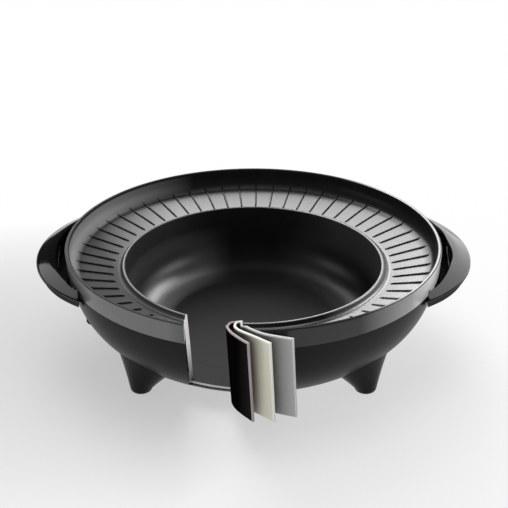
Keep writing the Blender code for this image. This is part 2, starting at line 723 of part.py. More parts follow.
def base_screw_spots():
    for index in range(BASE_SCREW_COUNT):
        angle = 45 + 360 * index / BASE_SCREW_COUNT
        yield polar(BASE_SCREW_PLACE, angle)


def shell_screw_holes():
    bm = bmesh.new()
    reach = shell_radius_at(handle_screw_height(), 0)
    for angle in handle_screw_spots():
        hole = rod(SCREW_RADIUS + SEAT_GAP, reach - OVERRUN, reach + OVERRUN)
        add_to(bm, lying(hole, angle, handle_screw_height()))
    for angle in FOOT_ANGLES.values():
        hole = rod(SCREW_RADIUS + SEAT_GAP, SHELL_FLOOR_Z, FOOT_TOP)
        add_to(bm, moved(hole, (*polar(FOOT_SCREW_PLACE, angle), 0)))
    for spot in base_screw_spots():
        hole = rod(SCREW_RADIUS + SEAT_GAP, SHELL_FLOOR_Z - OVERRUN, SHELL_FLOOR_Z + OVERRUN)
        add_to(bm, moved(hole, (*spot, 0)))
    return bm


def rim_gasket(parent):
    outer = shell_radius_at(FLANGE_TOP_Z, -SHELL_SHEET) - GASKET_INSET
    inner = outer - GASKET_WIDTH
    low = FLANGE_TOP_Z + SEAT_GAP

    def under_pan(radius):
        near = (PAN_STEP, BAND_BOTTOM_Z)
        far_radius = RIM_INNER - RING_FILLET
        far = (far_radius, ring_surface_z(far_radius) - RING_WALL)
        return near[1] + (far[1] - near[1]) * (near[0] - radius) / (near[0] - far[0])

    profile = [(outer, under_pan(outer) - SEAT_GAP), (outer, low), (inner, low),
               (inner, under_pan(inner) - SEAT_GAP)]
    gasket = solid("rim_gasket", lathe(profile, ROUND_STEPS), "rubber", parent)
    window = window_cutter()
    combine(gasket, window)
    drop(window)
    return gasket


def handle_outline(share, inset, steps=28):
    """Plan of the right handle at a share of its height, from low to top, drawn in by the inset."""
    bend = HANDLE_LOW_BEND + (HANDLE_TOP_BEND - HANDLE_LOW_BEND) * share
    reach = RIM_RADIUS + HANDLE_LOW_REACH + (HANDLE_REACH - HANDLE_LOW_REACH) * share
    middle = reach - bend
    root = RIM_RADIUS - HANDLE_ROOT_INSET
    half = math.degrees(math.acos((root - middle) / (bend - inset)))
    return arc((middle, 0), bend - inset, -half, half, steps)


def handle_space():
    """The space of the pan and shell, with the clearance of a handle."""
    clear = SHELL_INSET + PAN_GAP
    line = shell_line(SEAT_GAP, MEDIUM_STEPS // 2)
    step_z = SHELL_TOP_Z - PAN_GAP
    line = [(shell_radius_at(step_z, SEAT_GAP), step_z)] + [p for p in line if p[1] < step_z]
    profile = [(0, RIM_TOP_Z), (SHELL_TOP + clear, RIM_TOP_Z), (SHELL_TOP + clear, step_z)]
    profile += line + [(0, line[-1][1])]
    return lathe(profile, ROUND_STEPS)


def slot_outline(steps=20):
    """Plan of the recess beside the rim: part of a ring, with rounded ends."""
    half = SLOT_HALF_ANGLE
    end_round = SLOT_WIDTH / 2
    middle = RIM_RADIUS + end_round
    near = polar(middle, -half)
    far = polar(middle, half)
    inner = RIM_RADIUS - HANDLE_EDGE
    outline = [polar(inner, -half - math.degrees(end_round / middle))]
    outline += arc(near, end_round, -half - 90, -half, 4)
    outline += arc((0, 0), RIM_RADIUS + SLOT_WIDTH, -half, half, steps)[1:-1]
    outline += arc(far, end_round, half, half + 90, 4)
    return outline + [polar(inner, half + math.degrees(end_round / middle))]


def handle(side_name, turn, parent):
    rings = []
    for height_share, outline_share, edge_share in HANDLE_LEVEL_SHARES:
        height = HANDLE_BOTTOM_Z + HANDLE_HEIGHT * height_share
        outline = handle_outline(outline_share, HANDLE_EDGE * edge_share)
        rings.append([(x, y, height) for x, y in outline])
    crown = handle_outline(1.0, HANDLE_CROWN_INSET)
    rings.append([(x, y, HANDLE_TOP_Z + HANDLE_CROWN) for x, y in crown])
    body = solid("handle_" + side_name, turned(loft(rings), turn), "moulded", parent)
    slot = prism(slot_outline(), HANDLE_TOP_Z - SLOT_DEPTH, HANDLE_TOP_Z + HANDLE_CROWN + OVERRUN)
    pocket = prism(pocket_outline(POCKET_WALL), HANDLE_BOTTOM_Z - OVERRUN, HANDLE_BOTTOM_Z + POCKET_DEPTH)
    holes = bmesh.new()
    reach = shell_radius_at(handle_screw_height(), 0)
    for side in (-HANDLE_SCREW_ANGLE, HANDLE_SCREW_ANGLE):
        hole = rod(SCREW_RADIUS + SEAT_GAP, reach - OVERRUN, reach + HANDLE_SCREW_LENGTH)
        add_to(holes, lying(hole, side, handle_screw_height()))
    cuts = [cutter("handle_space", handle_space()), cutter("slot", turned(slot, turn)),
            cutter("pocket", turned(pocket, turn)), cutter("handle_holes", turned(holes, turn))]
    for cut in cuts:
        combine(body, cut)
    drop(*cuts)
    return body


def pocket_outline(inset, steps=20):
    """Plan of the recess under the handle, inside the low outline."""
    bend = HANDLE_LOW_BEND - POCKET_EDGE - inset
    middle = RIM_RADIUS + HANDLE_LOW_REACH - HANDLE_LOW_BEND
    inner = SHELL_TOP + inset
    half = math.degrees(math.acos((inner - middle) / bend)) * POCKET_SPREAD_SHARE
    outer = arc((middle, 0), bend, -half, half, steps)
    reach = math.atan2(outer[-1][1], outer[-1][0])
    back = arc((0, 0), inner, math.degrees(reach), -math.degrees(reach), steps)
    return outer + back


def handle_cover(side_name, turn, parent):
    outline = pocket_outline(POCKET_WALL + SEAT_GAP)
    low = HANDLE_BOTTOM_Z + SEAT_GAP
    bm = prism(outline, low, HANDLE_BOTTOM_Z + POCKET_DEPTH - SEAT_GAP)
    return solid("handle_cover_" + side_name, turned(bm, turn), "moulded", parent)


def screw(radius, length):
    """A pan-head screw hanging down from its head, whose underside is at zero."""
    head = [(0, SCREW_HEAD_HEIGHT), (SCREW_HEAD_RADIUS * SCREW_CROWN_SHARE, SCREW_HEAD_HEIGHT),
            (SCREW_HEAD_RADIUS, SCREW_HEAD_HEIGHT * SCREW_SIDE_SHARE), (SCREW_HEAD_RADIUS, 0),
            (radius, 0), (radius, -length), (0, -length)]
    return lathe(head, SCREW_STEPS)


def handle_screws(parent):
    head_foot = handle_screw_height() - SCREW_HEAD_RADIUS
    inside = shell_radius_at(head_foot, -SHELL_SHEET) - 2 * SEAT_GAP
    for index, angle in enumerate(handle_screw_spots(), 1):
        one = turned(screw(SCREW_RADIUS, HANDLE_SCREW_LENGTH), 180, "X")
        lying(moved(one, (0, 0, inside)), angle, handle_screw_height())
        solid(f"handle_screw_{index}", one, "steel", parent)


def foot_rings():
    """Rings of a foot that stands out along +X, from its sole up."""
    rings = []
    rise_share, inset_share = FOOT_SOLE_SHARES
    levels = [(FOOT_SOLE_RISE, 0.0, -FOOT_SOLE_ROUND),
              (FOOT_SOLE_RISE + FOOT_SOLE_ROUND * rise_share, 0.0, -FOOT_SOLE_ROUND * inset_share),
              (FOOT_TIP_HEIGHT, 0.0, 0.0)]
    for share in FOOT_LEVEL_SHARES:
        levels.append((FOOT_TIP_HEIGHT + (FOOT_TOP - FOOT_TIP_HEIGHT) * share, share, 0.0))
    for height, share, grow in levels:
        along_radius = FOOT_TIP + FOOT_GROWTH_IN * share + grow
        across = FOOT_TIP + FOOT_GROWTH_ACROSS * share + FOOT_FLARE * share ** 2 + grow
        middle = FOOT_PLACE - FOOT_SHIFT_IN * share
        ring = []
        for step in range(FOOT_STEPS):
            angle = 2 * math.pi * step / FOOT_STEPS
            ring.append((middle + along_radius * math.cos(angle), across * math.sin(angle), height))
        rings.append(ring)
    return rings


def foot(place_name, angle, parent):
    """A foot, cut to seat on the shell while it lies along +X, then turned to its place."""
    body = solid("foot_" + place_name, loft(foot_rings()), "moulded", parent)
    pad_hole = rod(PAD_RADIUS + SEAT_GAP, -OVERRUN, PAD_HEIGHT + SEAT_GAP, CUP_STEPS)
    screw_low = foot_screw_seat() - FOOT_SCREW_DEPTH - SEAT_GAP
    screw_hole = rod(SCREW_RADIUS + SEAT_GAP, screw_low, FOOT_TOP)
    holes = add_to(moved(screw_hole, (FOOT_SCREW_PLACE, 0, 0)), moved(pad_hole, (FOOT_PLACE, 0, 0)))
    cuts = [cutter("shell_space", shell_core(SEAT_GAP)), cutter("foot_holes", holes)]
    for cut in cuts:
        combine(body, cut)
    drop(*cuts)
    body.data.transform(Matrix.Rotation(math.radians(angle), 4, "Z"))
    return body


def foot_pad(place_name, angle, parent):
    profile = [(0, PAD_HEIGHT), (PAD_RADIUS, PAD_HEIGHT), (PAD_RADIUS, FOOT_SOLE_RISE / 2),
               (PAD_RADIUS - FOOT_SOLE_RISE / 2, 0), (0, 0)]
    bm = moved(lathe(profile, CUP_STEPS), (*polar(FOOT_PLACE, angle), 0))
    return solid("foot_pad_" + place_name, bm, "rubber", parent)


def foot_screw_seat():
    """Height of the shell's inner face on the uphill side of a foot screw's head."""
    for radius, height in reversed(shell_line(-SHELL_SHEET, ROUND_STEPS)):
        if radius > FOOT_SCREW_PLACE + SCREW_HEAD_RADIUS:
            return height + SEAT_GAP
    return FOOT_TOP


def foot_screw(place_name, angle, parent):
    spot = (*polar(FOOT_SCREW_PLACE, angle), foot_screw_seat())
    one = moved(screw(SCREW_RADIUS, FOOT_SCREW_DEPTH), spot)
    return solid("foot_screw_" + place_name, one, "steel", parent)


def element_path():
    """Middle line of the element: in along one leg, round the ring and out along the other."""
    corner = -math.sqrt(ELEMENT_RADIUS ** 2 - ELEMENT_LEG_OFFSET ** 2)
    leg_angle = math.degrees(math.asin(ELEMENT_LEG_OFFSET / ELEMENT_RADIUS))
    bend_angle = math.degrees(ELEMENT_BEND / ELEMENT_RADIUS)
    half = 180 - leg_angle - bend_angle
    start = (-ELEMENT_LEG_END, ELEMENT_LEG_OFFSET)
    straight_end = (corner - ELEMENT_BEND, ELEMENT_LEG_OFFSET)
    ring = arc((0, 0), ELEMENT_RADIUS, half, -half, 40)
    bend = []
    for step in range(4):
        t = step / 4
        x = (1 - t) ** 2 * straight_end[0] + 2 * t * (1 - t) * corner + t ** 2 * ring[0][0]
        y = ((1 - t) ** 2 + 2 * t * (1 - t)) * ELEMENT_LEG_OFFSET + t ** 2 * ring[0][1]
        bend.append((x, y))
    first = [start] + bend
    last = [(x, -y) for x, y in reversed(first)]
    return [(x, y, ELEMENT_Z) for x, y in first + ring + last]


def heating_element(parent):
    return tube("heating_element", element_path(), ELEMENT_TUBE, "steel", parent, resolution=2)


def element_terminal(side_name, side, parent):
    """A terminal stud in line with its leg of the element, and the ceramic bead round it."""
    low = ELEMENT_LEG_END + SEAT_GAP
    bore = STUD_RADIUS + SEAT_GAP
    profile = [(BEAD_RADIUS, low + BEAD_LENGTH), (BEAD_RADIUS, low), (bore, low),
               (bore, low + BEAD_LENGTH)]
    offset = (0, side * ELEMENT_LEG_OFFSET, 0)
    stud = lying(rod(STUD_RADIUS, low, ELEMENT_LEG_END + STUD_LENGTH), 180, ELEMENT_Z)
    bead = lying(lathe(profile, SMALL_STEPS), 180, ELEMENT_Z)
    solid("element_stud_" + side_name, moved(stud, offset), "brass", parent)
    solid("stud_bead_" + side_name, moved(bead, offset), "ceramic", parent)


def element_saddles(parent):
    low = REFLECTOR_TOP_Z + SEAT_GAP
    high = ELEMENT_Z - ELEMENT_TUBE - SEAT_GAP
    for index, angle in enumerate(SADDLE_ANGLES, 1):
        one = box((ELEMENT_RADIUS - SADDLE_LENGTH / 2, -SADDLE_WIDTH / 2, low),
                  (ELEMENT_RADIUS + SADDLE_LENGTH / 2, SADDLE_WIDTH / 2, high))
        solid(f"element_saddle_{index}", turned(one, angle), "steel", parent, smooth=False)


def heat_reflector(parent):
    step = SHELL_LIP_INNER - REFLECTOR_STEP_INSET
    sheet = REFLECTOR_SHEET
    profile = [(0, REFLECTOR_TOP_Z), (step - sheet, REFLECTOR_TOP_Z),
               (step - sheet, REFLECTOR_FLANGE_Z + sheet), (REFLECTOR_FLANGE, REFLECTOR_FLANGE_Z + sheet),
               (REFLECTOR_FLANGE, REFLECTOR_FLANGE_Z), (step, REFLECTOR_FLANGE_Z),
               (step, REFLECTOR_FLOOR_Z), (0, REFLECTOR_FLOOR_Z)]
    reflector = solid("heat_reflector", lathe(profile, MEDIUM_STEPS), "steel", parent)
    holes = bmesh.new()
    for spot in base_screw_spots():
        hole = rod(SCREW_RADIUS + SEAT_GAP, SHELL_FLOOR_Z, REFLECTOR_FLANGE_Z + OVERRUN)
        add_to(holes, moved(hole, (*spot, 0)))
    cut = cutter("reflector_holes", holes)
    combine(reflector, cut)
    drop(cut)
    return reflector


def vent(index):
    """A round-ended slot, pointing out from the middle."""
    half = VENT_WIDTH / 2
    straight = VENT_LENGTH / 2 - half
    outline = arc((VENT_PLACE + straight, 0), half, -90, 90, 3)
    outline += arc((VENT_PLACE - straight, 0), half, 90, 270, 3)
    bm = prism(outline, COVER_CLEARANCE - OVERRUN, COVER_CLEARANCE + OVERRUN)
    return turned(bm, 360 * (index + 0.5) / VENT_COUNT)


def bottom_cover(parent):
    top = COVER_CLEARANCE + COVER_SHEET
    profile = [(0, top), (COVER_RADIUS - SEAT_GAP, top),
               (COVER_RADIUS, COVER_CLEARANCE + COVER_SHEET / 2), (COVER_RADIUS - SEAT_GAP, COVER_CLEARANCE),
               (0, COVER_CLEARANCE)]
    cover = solid("bottom_cover", lathe(profile, MEDIUM_STEPS), "sheet", parent)
    vents = bmesh.new()
    for index in range(VENT_COUNT):
        add_to(vents, vent(index))
    for spot in base_screw_spots():
        hole = rod(SCREW_RADIUS + SEAT_GAP, COVER_CLEARANCE - OVERRUN / 2, top + OVERRUN / 2)
        add_to(vents, moved(hole, (*spot, 0)))
    cut = cutter("vents", vents)
    combine(cover, cut)
    drop(cut)
    return cover


def base_fixings(parent):
    """The screws that hold the cover, shell and reflector together, and their nuts."""
    length = nut_base() + NUT_HEIGHT - COVER_CLEARANCE + SEAT_GAP
    bore = SCREW_RADIUS + SEAT_GAP
    profile = [(NUT_RADIUS, nut_base() + NUT_HEIGHT), (NUT_RADIUS, nut_base()),
               (bore, nut_base()), (bore, nut_base() + NUT_HEIGHT)]
    for index, spot in enumerate(base_screw_spots(), 1):
        one = turned(screw(SCREW_RADIUS, length), 180, "X")
        solid(f"base_screw_{index}", moved(one, (*spot, COVER_CLEARANCE - SEAT_GAP)), "steel", parent)
        nut = moved(lathe(profile, NUT_STEPS), (*spot, 0))
        solid(f"base_nut_{index}", nut, "steel", parent, smooth=False)


def nut_base():
    return REFLECTOR_FLANGE_Z + REFLECTOR_SHEET + SEAT_GAP


def thermal_cutout(parent):
    low = REFLECTOR_TOP_Z + SEAT_GAP
    top = POT_UNDERSIDE_Z - SEAT_GAP
    profile = [(0, top), (CUTOUT_RADIUS, top), (CUTOUT_RADIUS, low + CUTOUT_FLANGE_HEIGHT),
               (CUTOUT_FLANGE, low + CUTOUT_FLANGE_HEIGHT), (CUTOUT_FLANGE, low), (0, low)]
    body = solid("thermal_cutout", lathe(profile, CUP_STEPS), "steel", parent)
    lugs = bmesh.new()
    for side in (-1, 1):
        middle = side * LUG_OFFSET
        add_to(lugs, box((-CUTOUT_RADIUS - LUG_REACH, middle - LUG_WIDTH / 2, LEAD_Z - LUG_HEIGHT / 2),
                         (0, middle + LUG_WIDTH / 2, LEAD_Z + LUG_HEIGHT / 2)))
    helper = cutter("lugs", lugs)
    combine(body, helper, "UNION")
    drop(helper)
    return body


def inlet_outline(inset):
    """Side outline of the inlet housing: distance out and height, drawn in by the inset."""
    face = INLET_FACE - inset
    tail_z = COVER_CLEARANCE + INLET_TAIL_RISE + inset
    slope_in = inset * INLET_SLOPE_SHARE
    chin_in, chin_drop = INLET_CHIN_SHARES
    return [(POT_RADIUS, INLET_FACE_TOP - inset), (face, INLET_FACE_TOP - inset),
            (face, INLET_FACE_BOTTOM + slope_in),
            (face - INLET_CHIN * chin_in, INLET_FACE_BOTTOM - INLET_CHIN * chin_drop + slope_in),
            (face - INLET_CHIN, INLET_FACE_BOTTOM - INLET_CHIN + slope_in),
            (INLET_TAIL_TOP + slope_in, tail_z), (INLET_TAIL_END + slope_in, tail_z),
            (INLET_TAIL_END + slope_in, tail_z + INLET_TAIL_DEPTH)]


def inlet_housing(parent):
    housing = solid("inlet_housing", side_prism(inlet_outline(0), INLET_HALF_WIDTH), "moulded", parent)
    cavity = side_prism(inlet_outline(INLET_WALL), INLET_HALF_WIDTH - INLET_WALL)
    mouth = box((-INLET_FACE - OVERRUN, -MOUTH_HALF_WIDTH, INLET_HEIGHT - MOUTH_HALF_HEIGHT),
                (-INLET_FACE + OVERRUN, MOUTH_HALF_WIDTH, INLET_HEIGHT + MOUTH_HALF_HEIGHT))
    cuts = [cutter("inlet_cavity", cavity), cutter("inlet_mouth", mouth),
            cutter("inlet_shell_space", shell_core(SEAT_GAP))]
    for cut in cuts:
        combine(housing, cut)
    drop(*cuts)
    return housing


def inlet_block(parent):
    half = SHELL_CUTOUT_HALF - SEAT_GAP
    block = solid("inlet_block",
                  box((-BLOCK_FACE, -half, BLOCK_BOTTOM),
                      (-BLOCK_FACE + BLOCK_DEPTH, half, SHELL_CUTOUT_TOP - SEAT_GAP)),
                  "ceramic", parent, smooth=False)
    holes = bmesh.new()
    for side, radius in ((-1, PIN_RADIUS), (0, SLEEVE_RADIUS), (1, PIN_RADIUS)):
        hole = lying(rod(radius + SEAT_GAP, BLOCK_FACE - BLOCK_DEPTH - OVERRUN, BLOCK_FACE + OVERRUN),
                     180, INLET_HEIGHT)
        add_to(holes, moved(hole, (0, side * PIN_OFFSET, 0)))
    cut = cutter("block_holes", holes)
    combine(block, cut)
    drop(cut)
    return block


def inlet_pin(side_name, side, parent):
    one = rod(PIN_RADIUS, BLOCK_FACE - BLOCK_DEPTH, BLOCK_FACE + PIN_REACH)
    moved(lying(one, 180, INLET_HEIGHT), (0, side * PIN_OFFSET, 0))
    return solid("inlet_pin_" + side_name, one, "brass", parent)


def probe_sleeve(parent):
    """Closed tube that holds a temperature probe against the wall of the pot."""
    near = POT_OUTER + SEAT_GAP
    far = BLOCK_FACE
    bore = SLEEVE_RADIUS - SLEEVE_WALL
    profile = [(bore, far), (SLEEVE_RADIUS, far), (SLEEVE_RADIUS, near), (0, near),
               (0, near + SLEEVE_WALL), (bore, near + SLEEVE_WALL)]
    bm = lathe(profile, CUP_STEPS)
    return solid("probe_sleeve", lying(bm, 180, INLET_HEIGHT), "steel", parent)


def routed(start, end, route):
    """Places of a lead between two spots, by shares of the way out, across and up."""
    return [tuple(low + (high - low) * share for low, high, share in zip(start, end, shares))
            for shares in route]


def climb(offset):
    """Places of a lead that goes round the pot's corner and up to its pin."""
    corner = (-(POT_OUTER - LEAD_CORNER_INSET), LEAD_Z + LEAD_CORNER_RISE)
    pin = (-(BLOCK_FACE - BLOCK_DEPTH - SEAT_GAP), INLET_HEIGHT)
    return [(corner[0] + (pin[0] - corner[0]) * out, offset, corner[1] + (pin[1] - corner[1]) * up)
            for out, up in CLIMB_SHARES]


def leads(parent):
    lug = -(CUTOUT_RADIUS + LUG_REACH + SEAT_GAP)
    stud = -(ELEMENT_LEG_END + STUD_LENGTH + SEAT_GAP)
    corner = -(POT_OUTER - LEAD_CORNER_INSET)
    high = LEAD_Z + LEAD_CORNER_RISE
    live = routed((lug, LUG_OFFSET, LEAD_Z), (corner, -PIN_OFFSET, high), LIVE_ROUTE_SHARES)
    neutral = routed((stud, ELEMENT_LEG_OFFSET, ELEMENT_Z), (corner, PIN_OFFSET, high),
                     NEUTRAL_ROUTE_SHARES)
    jumper = routed((lug, -LUG_OFFSET, LEAD_Z), (stud, -ELEMENT_LEG_OFFSET, ELEMENT_Z),
                    JUMPER_ROUTE_SHARES)
    tube("lead_live", smooth_path(live + climb(-PIN_OFFSET), 3), LEAD_RADIUS, "silicone_red", parent)
    tube("lead_neutral", smooth_path(neutral + climb(PIN_OFFSET), 3), LEAD_RADIUS, "silicone_blue", parent)
    tube("lead_jumper", smooth_path(jumper, 3), LEAD_RADIUS, "silicone_white", parent)


def build():
    clear_scene()
    base = bpy.data.objects.new("base", None)
    lift = bpy.data.objects.new("pan_lift", None)
    for empty in (base, lift):
        bpy.context.scene.collection.objects.link(empty)
    lift.location = (0, 0, FLANGE_TOP_Z)
    bpy.context.view_layer.update()
    grill_pan(lift)
    for index in range(len(LAYER_NAMES)):
        layer(index, lift)
    base_shell(base)
    rim_gasket(base)
    for side_name, turn in (("right", 0), ("left", 180)):
        handle(side_name, turn, base)
        handle_cover(side_name, turn, base)
    handle_screws(base)
    for place_name, angle in FOOT_ANGLES.items():
        foot(place_name, angle, base)
        foot_pad(place_name, angle, base)
        foot_screw(place_name, angle, base)
    heating_element(base)
    for side_name, side in (("front", -1), ("rear", 1)):
        element_terminal(side_name, side, base)
        inlet_pin(side_name, side, base)
    element_saddles(base)
    heat_reflector(base)
    thermal_cutout(base)
    bottom_cover(base)
    base_fixings(base)
    inlet_housing(base)
    inlet_block(base)
    probe_sleeve(base)
    leads(base)


build()
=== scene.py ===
"""Looks of the hot pot and grill combination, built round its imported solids.

Metres, +Z up, the middle of the pot above the origin, the cut front towards -Y.
"""

import math

import bmesh
import bpy
from mathutils import Matrix, Vector

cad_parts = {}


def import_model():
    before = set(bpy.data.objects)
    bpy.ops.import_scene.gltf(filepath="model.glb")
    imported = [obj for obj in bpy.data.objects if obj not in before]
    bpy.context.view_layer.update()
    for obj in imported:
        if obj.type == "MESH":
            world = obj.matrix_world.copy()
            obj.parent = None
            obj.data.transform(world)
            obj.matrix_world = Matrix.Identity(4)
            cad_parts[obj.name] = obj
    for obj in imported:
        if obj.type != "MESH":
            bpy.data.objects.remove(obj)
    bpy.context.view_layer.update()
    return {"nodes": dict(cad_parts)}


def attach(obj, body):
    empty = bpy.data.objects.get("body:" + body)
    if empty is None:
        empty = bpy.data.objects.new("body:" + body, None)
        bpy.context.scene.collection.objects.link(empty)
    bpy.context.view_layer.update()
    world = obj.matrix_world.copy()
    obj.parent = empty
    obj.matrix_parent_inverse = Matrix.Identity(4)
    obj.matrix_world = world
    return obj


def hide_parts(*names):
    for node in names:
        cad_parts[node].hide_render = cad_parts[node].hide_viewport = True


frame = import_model()

# Pan, in metres
POT_RADIUS = 0.131
POT_DRAFT = 0.0007
POT_WALL = 0.00665
POT_FLOOR = 0.0188
POT_UNDER = POT_FLOOR - POT_WALL
POT_FILLET = 0.030
POT_CORNER = 0.019
GROOVE_INNER = 0.0764
GROOVE_OUTER = 0.0836
GROOVE_ROOF = POT_FLOOR - 0.0034
COLLAR_TOP = 0.0890
COLLAR_LIP = 0.0036
COLLAR_ROUND = 0.0013
FLANK_TOP = (0.13455, 0.08815)
FLANK_PULL = (0.1351, 0.0845)
FLANK_FOOT = 0.1390
RING_INNER = 0.1405
RING_INNER_Z = 0.0852
RING_SLOPE = 0.0075 / 0.0315
RING_WALL = 0.0045
RING_CHAMFER = 0.0014
FILLET_AT = 0.172
FILLET = 0.014
RIM_RADIUS = 0.190
RIM_INNER = 0.186
RIM_TOP = 0.114
RIM_ROUND = 0.0014
BAND_BOTTOM = 0.0945
BAND_DRAFT = 0.0007
BAND_ROUND = 0.0006
BAND_SEAT = 0.1832

# Ribs of the ring: degrees, metres, then shares of a rib's length, half width and height
RIB_COUNT = 56
RIB_FIRST = -1.0
RIB_CUT_FROM = -119.5
RIB_CUT_TO = -92.0
RIB_START = 0.1414
RIB_START_FRONT = 0.0068
RIB_END = 0.1812
RIB_HALF = 0.0009
RIB_HEIGHT = 0.0014
RIB_ROOT = 0.0012
RIB_SINK = 0.0001
RIB_ROOT_SHARE = 1.25
RIB_RISE_SHARES = ((0.0, 0.0), (0.035, 0.72), (0.1, 1.0), (0.5, 1.0), (0.93, 0.9), (1.0, -0.2))
RIB_BACK_SHARES = ((1.15, 0.1), (0.85, 0.68), (0.35, 0.97), (-0.35, 0.97), (-0.85, 0.68), (-1.15, 0.1))

# Base shell
SHELL_TOP = 0.1863
SHELL_TOP_Z = 0.0937
SHELL_FLOOR = 0.10765
SHELL_FLOOR_Z = 0.006
SHELL_HOLE = 0.10005
SHELL_OUT_POWER = 1.32
SHELL_DOWN_POWER = 0.95
SHEET = 0.0015
LEDGE_INNER = 0.1760
LEDGE_FOOT = 0.0845
LEDGE_LOW = 0.0860
LEDGE_TOP = 0.0875
INLET_NEAR = -0.1095
INLET_FAR = -0.176
INLET_HALF = 0.025
INLET_LOW = 0.002
INLET_TOP = 0.047

# Cut in the front, in degrees clockwise from +X. On the left: at its foot, then at its top, each
# at the pot's wall and at the rim. On the right: at the pot's wall and at the rim.
LEFT_CUT = ((116.2, 106.0), (119.0, 107.3))
RIGHT_CUT = (94.0, 86.7)
CUT_CORNER = 0.1034
CUT_CORNER_TURN = 12
CUT_WALL = 0.1300
CUT_INNER = 0.098
CUT_REACH = 0.202
SILL_INNER = 0.128
SILL_LOW = 0.013
SILL_TOP = 0.030
SILL_FROM = -121.0
SILL_TO = -92.0

# Peeled layers: plan points as shares of the rim's radius, from the cut wall outwards
PATH_SHARES = (
    ((-0.071, 0.6965), (-0.088, 0.711), (-0.110, 0.744), (-0.118, 0.82), (-0.121, 0.90),
     (-0.120, 0.950), (-0.103, 0.998), (-0.066, 1.050), (-0.020, 1.102)),
    ((-0.0645, 0.7095), (-0.0765, 0.7235), (-0.084, 0.752), (-0.0865, 0.82), (-0.0865, 0.90),
     (-0.084, 0.951), (-0.060, 0.988), (0.002, 1.038), (0.078, 1.102)),
    ((-0.0585, 0.7225), (-0.060, 0.737), (-0.057, 0.762), (-0.0545, 0.82), (-0.0535, 0.89),
     (-0.040, 0.940), (-0.002, 0.982), (0.060, 1.022), (0.182, 1.063)),
)
LAYERS = (("nonstick_layer", "coat_sheet", "coat_edge", "layer_coating"),
          ("alloy_layer", "alloy_sheet", "alloy_edge", "layer_alloy"),
          ("outer_layer", "outer_sheet", "outer_edge", "layer_outer"))
# Rise of a sheet's top with the way forward, then of its foot with the share of its path
LAYER_RISE = ((0.126, 0), (0.132, 0.07), (0.156, 0.47), (0.181, 1), (0.3, 1))
LAYER_FOOT_RISE = ((0, 0), (0.17, 0), (0.62, 0.21), (1, 0.2))
LAYER_TOP_CLIMB = 0.0246
LAYER_FOOT_CLIMB = 0.070
LAYER_FOOT_GAP = 0.0006
LAYER_LEAN = 0.0042
LAYER_SOFT = 0.0003
EDGE_STRIP = 0.0014
# Sides of a sheet's section that are its paler edge: its top and the strips below it
EDGE_SIDES = (0, 1, 5)

# Handles
HANDLE_TOP_BEND = 0.1322
HANDLE_LOW_BEND = 0.1053
HANDLE_LOW_Z = 0.078
HANDLE_HEIGHT = 0.021
HANDLE_REACH = 0.027
HANDLE_SPREAD = 0.0043
HANDLE_BACK = 0.140
HANDLE_SOFT = 0.0007
# Shares of the height and of the top's spread, with the inset there
HANDLE_RINGS = ((0.0, 0.0, 0.0056), (0.03, 0.0, 0.0037), (0.10, 0.0, 0.0020), (0.18, 0.0, 0.0008),
                (0.28, 0.0, 0.0), (0.60, 0.55, 0.0), (0.84, 0.91, 0.0), (0.90, 0.97, 0.0003),
                (0.945, 1.0, 0.0009), (0.975, 1.0, 0.0016), (1.0, 1.0, 0.0026))
# Inset and rise of the crown
HANDLE_CROWN = ((0.0050, 0.0012), (0.0085, 0.0028), (0.0125, 0.0046), (0.0170, 0.0062))
HANDLE_END = ((0.1711, 0.070), (0.1602, 0.120), (0.100, 0.120), (0.100, 0.070))
HANDLE_END_LOW = 0.070
HANDLE_END_TOP = 0.110
HANDLE_SIDE_TOP = 0.0972
HANDLE_SIDE_CENTRE = 0.10
HANDLE_SIDE_FACING = 0.03
RECESS_INNER = 0.1872
RECESS_WIDTH = 0.0106
# Reach of the recess to each side in degrees, with the height there
RECESS_HEIGHTS = ((17.7, 0.0835), (30.0, 0.0955), (30.0, 0.115))

# Feet: height, share of the flare and growth of the section there
FOOT_RINGS = ((0.0012, 0.0, -0.003), (0.0014, 0.0, -0.0019), (0.0021, 0.0, -0.00105),
              (0.0032, 0.0, -0.0004), (0.0050, 0.0, 0.0), (0.0132, 0.2, 0.0), (0.0214, 0.4, 0.0),
              (0.0296, 0.6, 0.0), (0.0378, 0.8, 0.0), (0.046, 1.0, 0.0))
FOOT_AT = 0.154
FOOT_LEAN = 0.0235
FOOT_HALF = 0.011
FOOT_FLARE_ALONG = 0.025
FOOT_FLARE_ACROSS = 0.030
FOOT_FLARE_CURVE = 0.012
PAD_RADIUS = 0.0068
PAD_TOP = 0.0027
FEET = (("front_left", 225), ("front_right", 315), ("rear_left", 135), ("rear_right", 45))

# Clearances, and steps of the round shapes
GAP = 0.0003
CLEARANCE = 0.0008
OVERRUN = 0.004
ABOVE_ALL = 0.120
PAN_STEPS = 256
CUTTER_STEPS = 192

# Material places of the pan
PAN, BAND, SECTION = 0, 1, 2

# Plain colours
BLACK = (0.0, 0.0, 0.0)
WHITE = (1.0, 1.0, 1.0)

# Camera and lamps
CAMERA_ASIDE = 0.0006
CAMERA_AIM_Z = 0.0944
CAMERA_DISTANCE = 1.100
CAMERA_TILT = math.radians(26.18)
CAMERA_FOCUS_PIXELS = 1070.5
PHOTO_PIXELS = 508
SENSOR = 36
LAMP_DISTANCE = 12.0
LAMP_AIM = Vector((0, 0, 0.08))
FLOOR_HALF = 6


# Shader maths


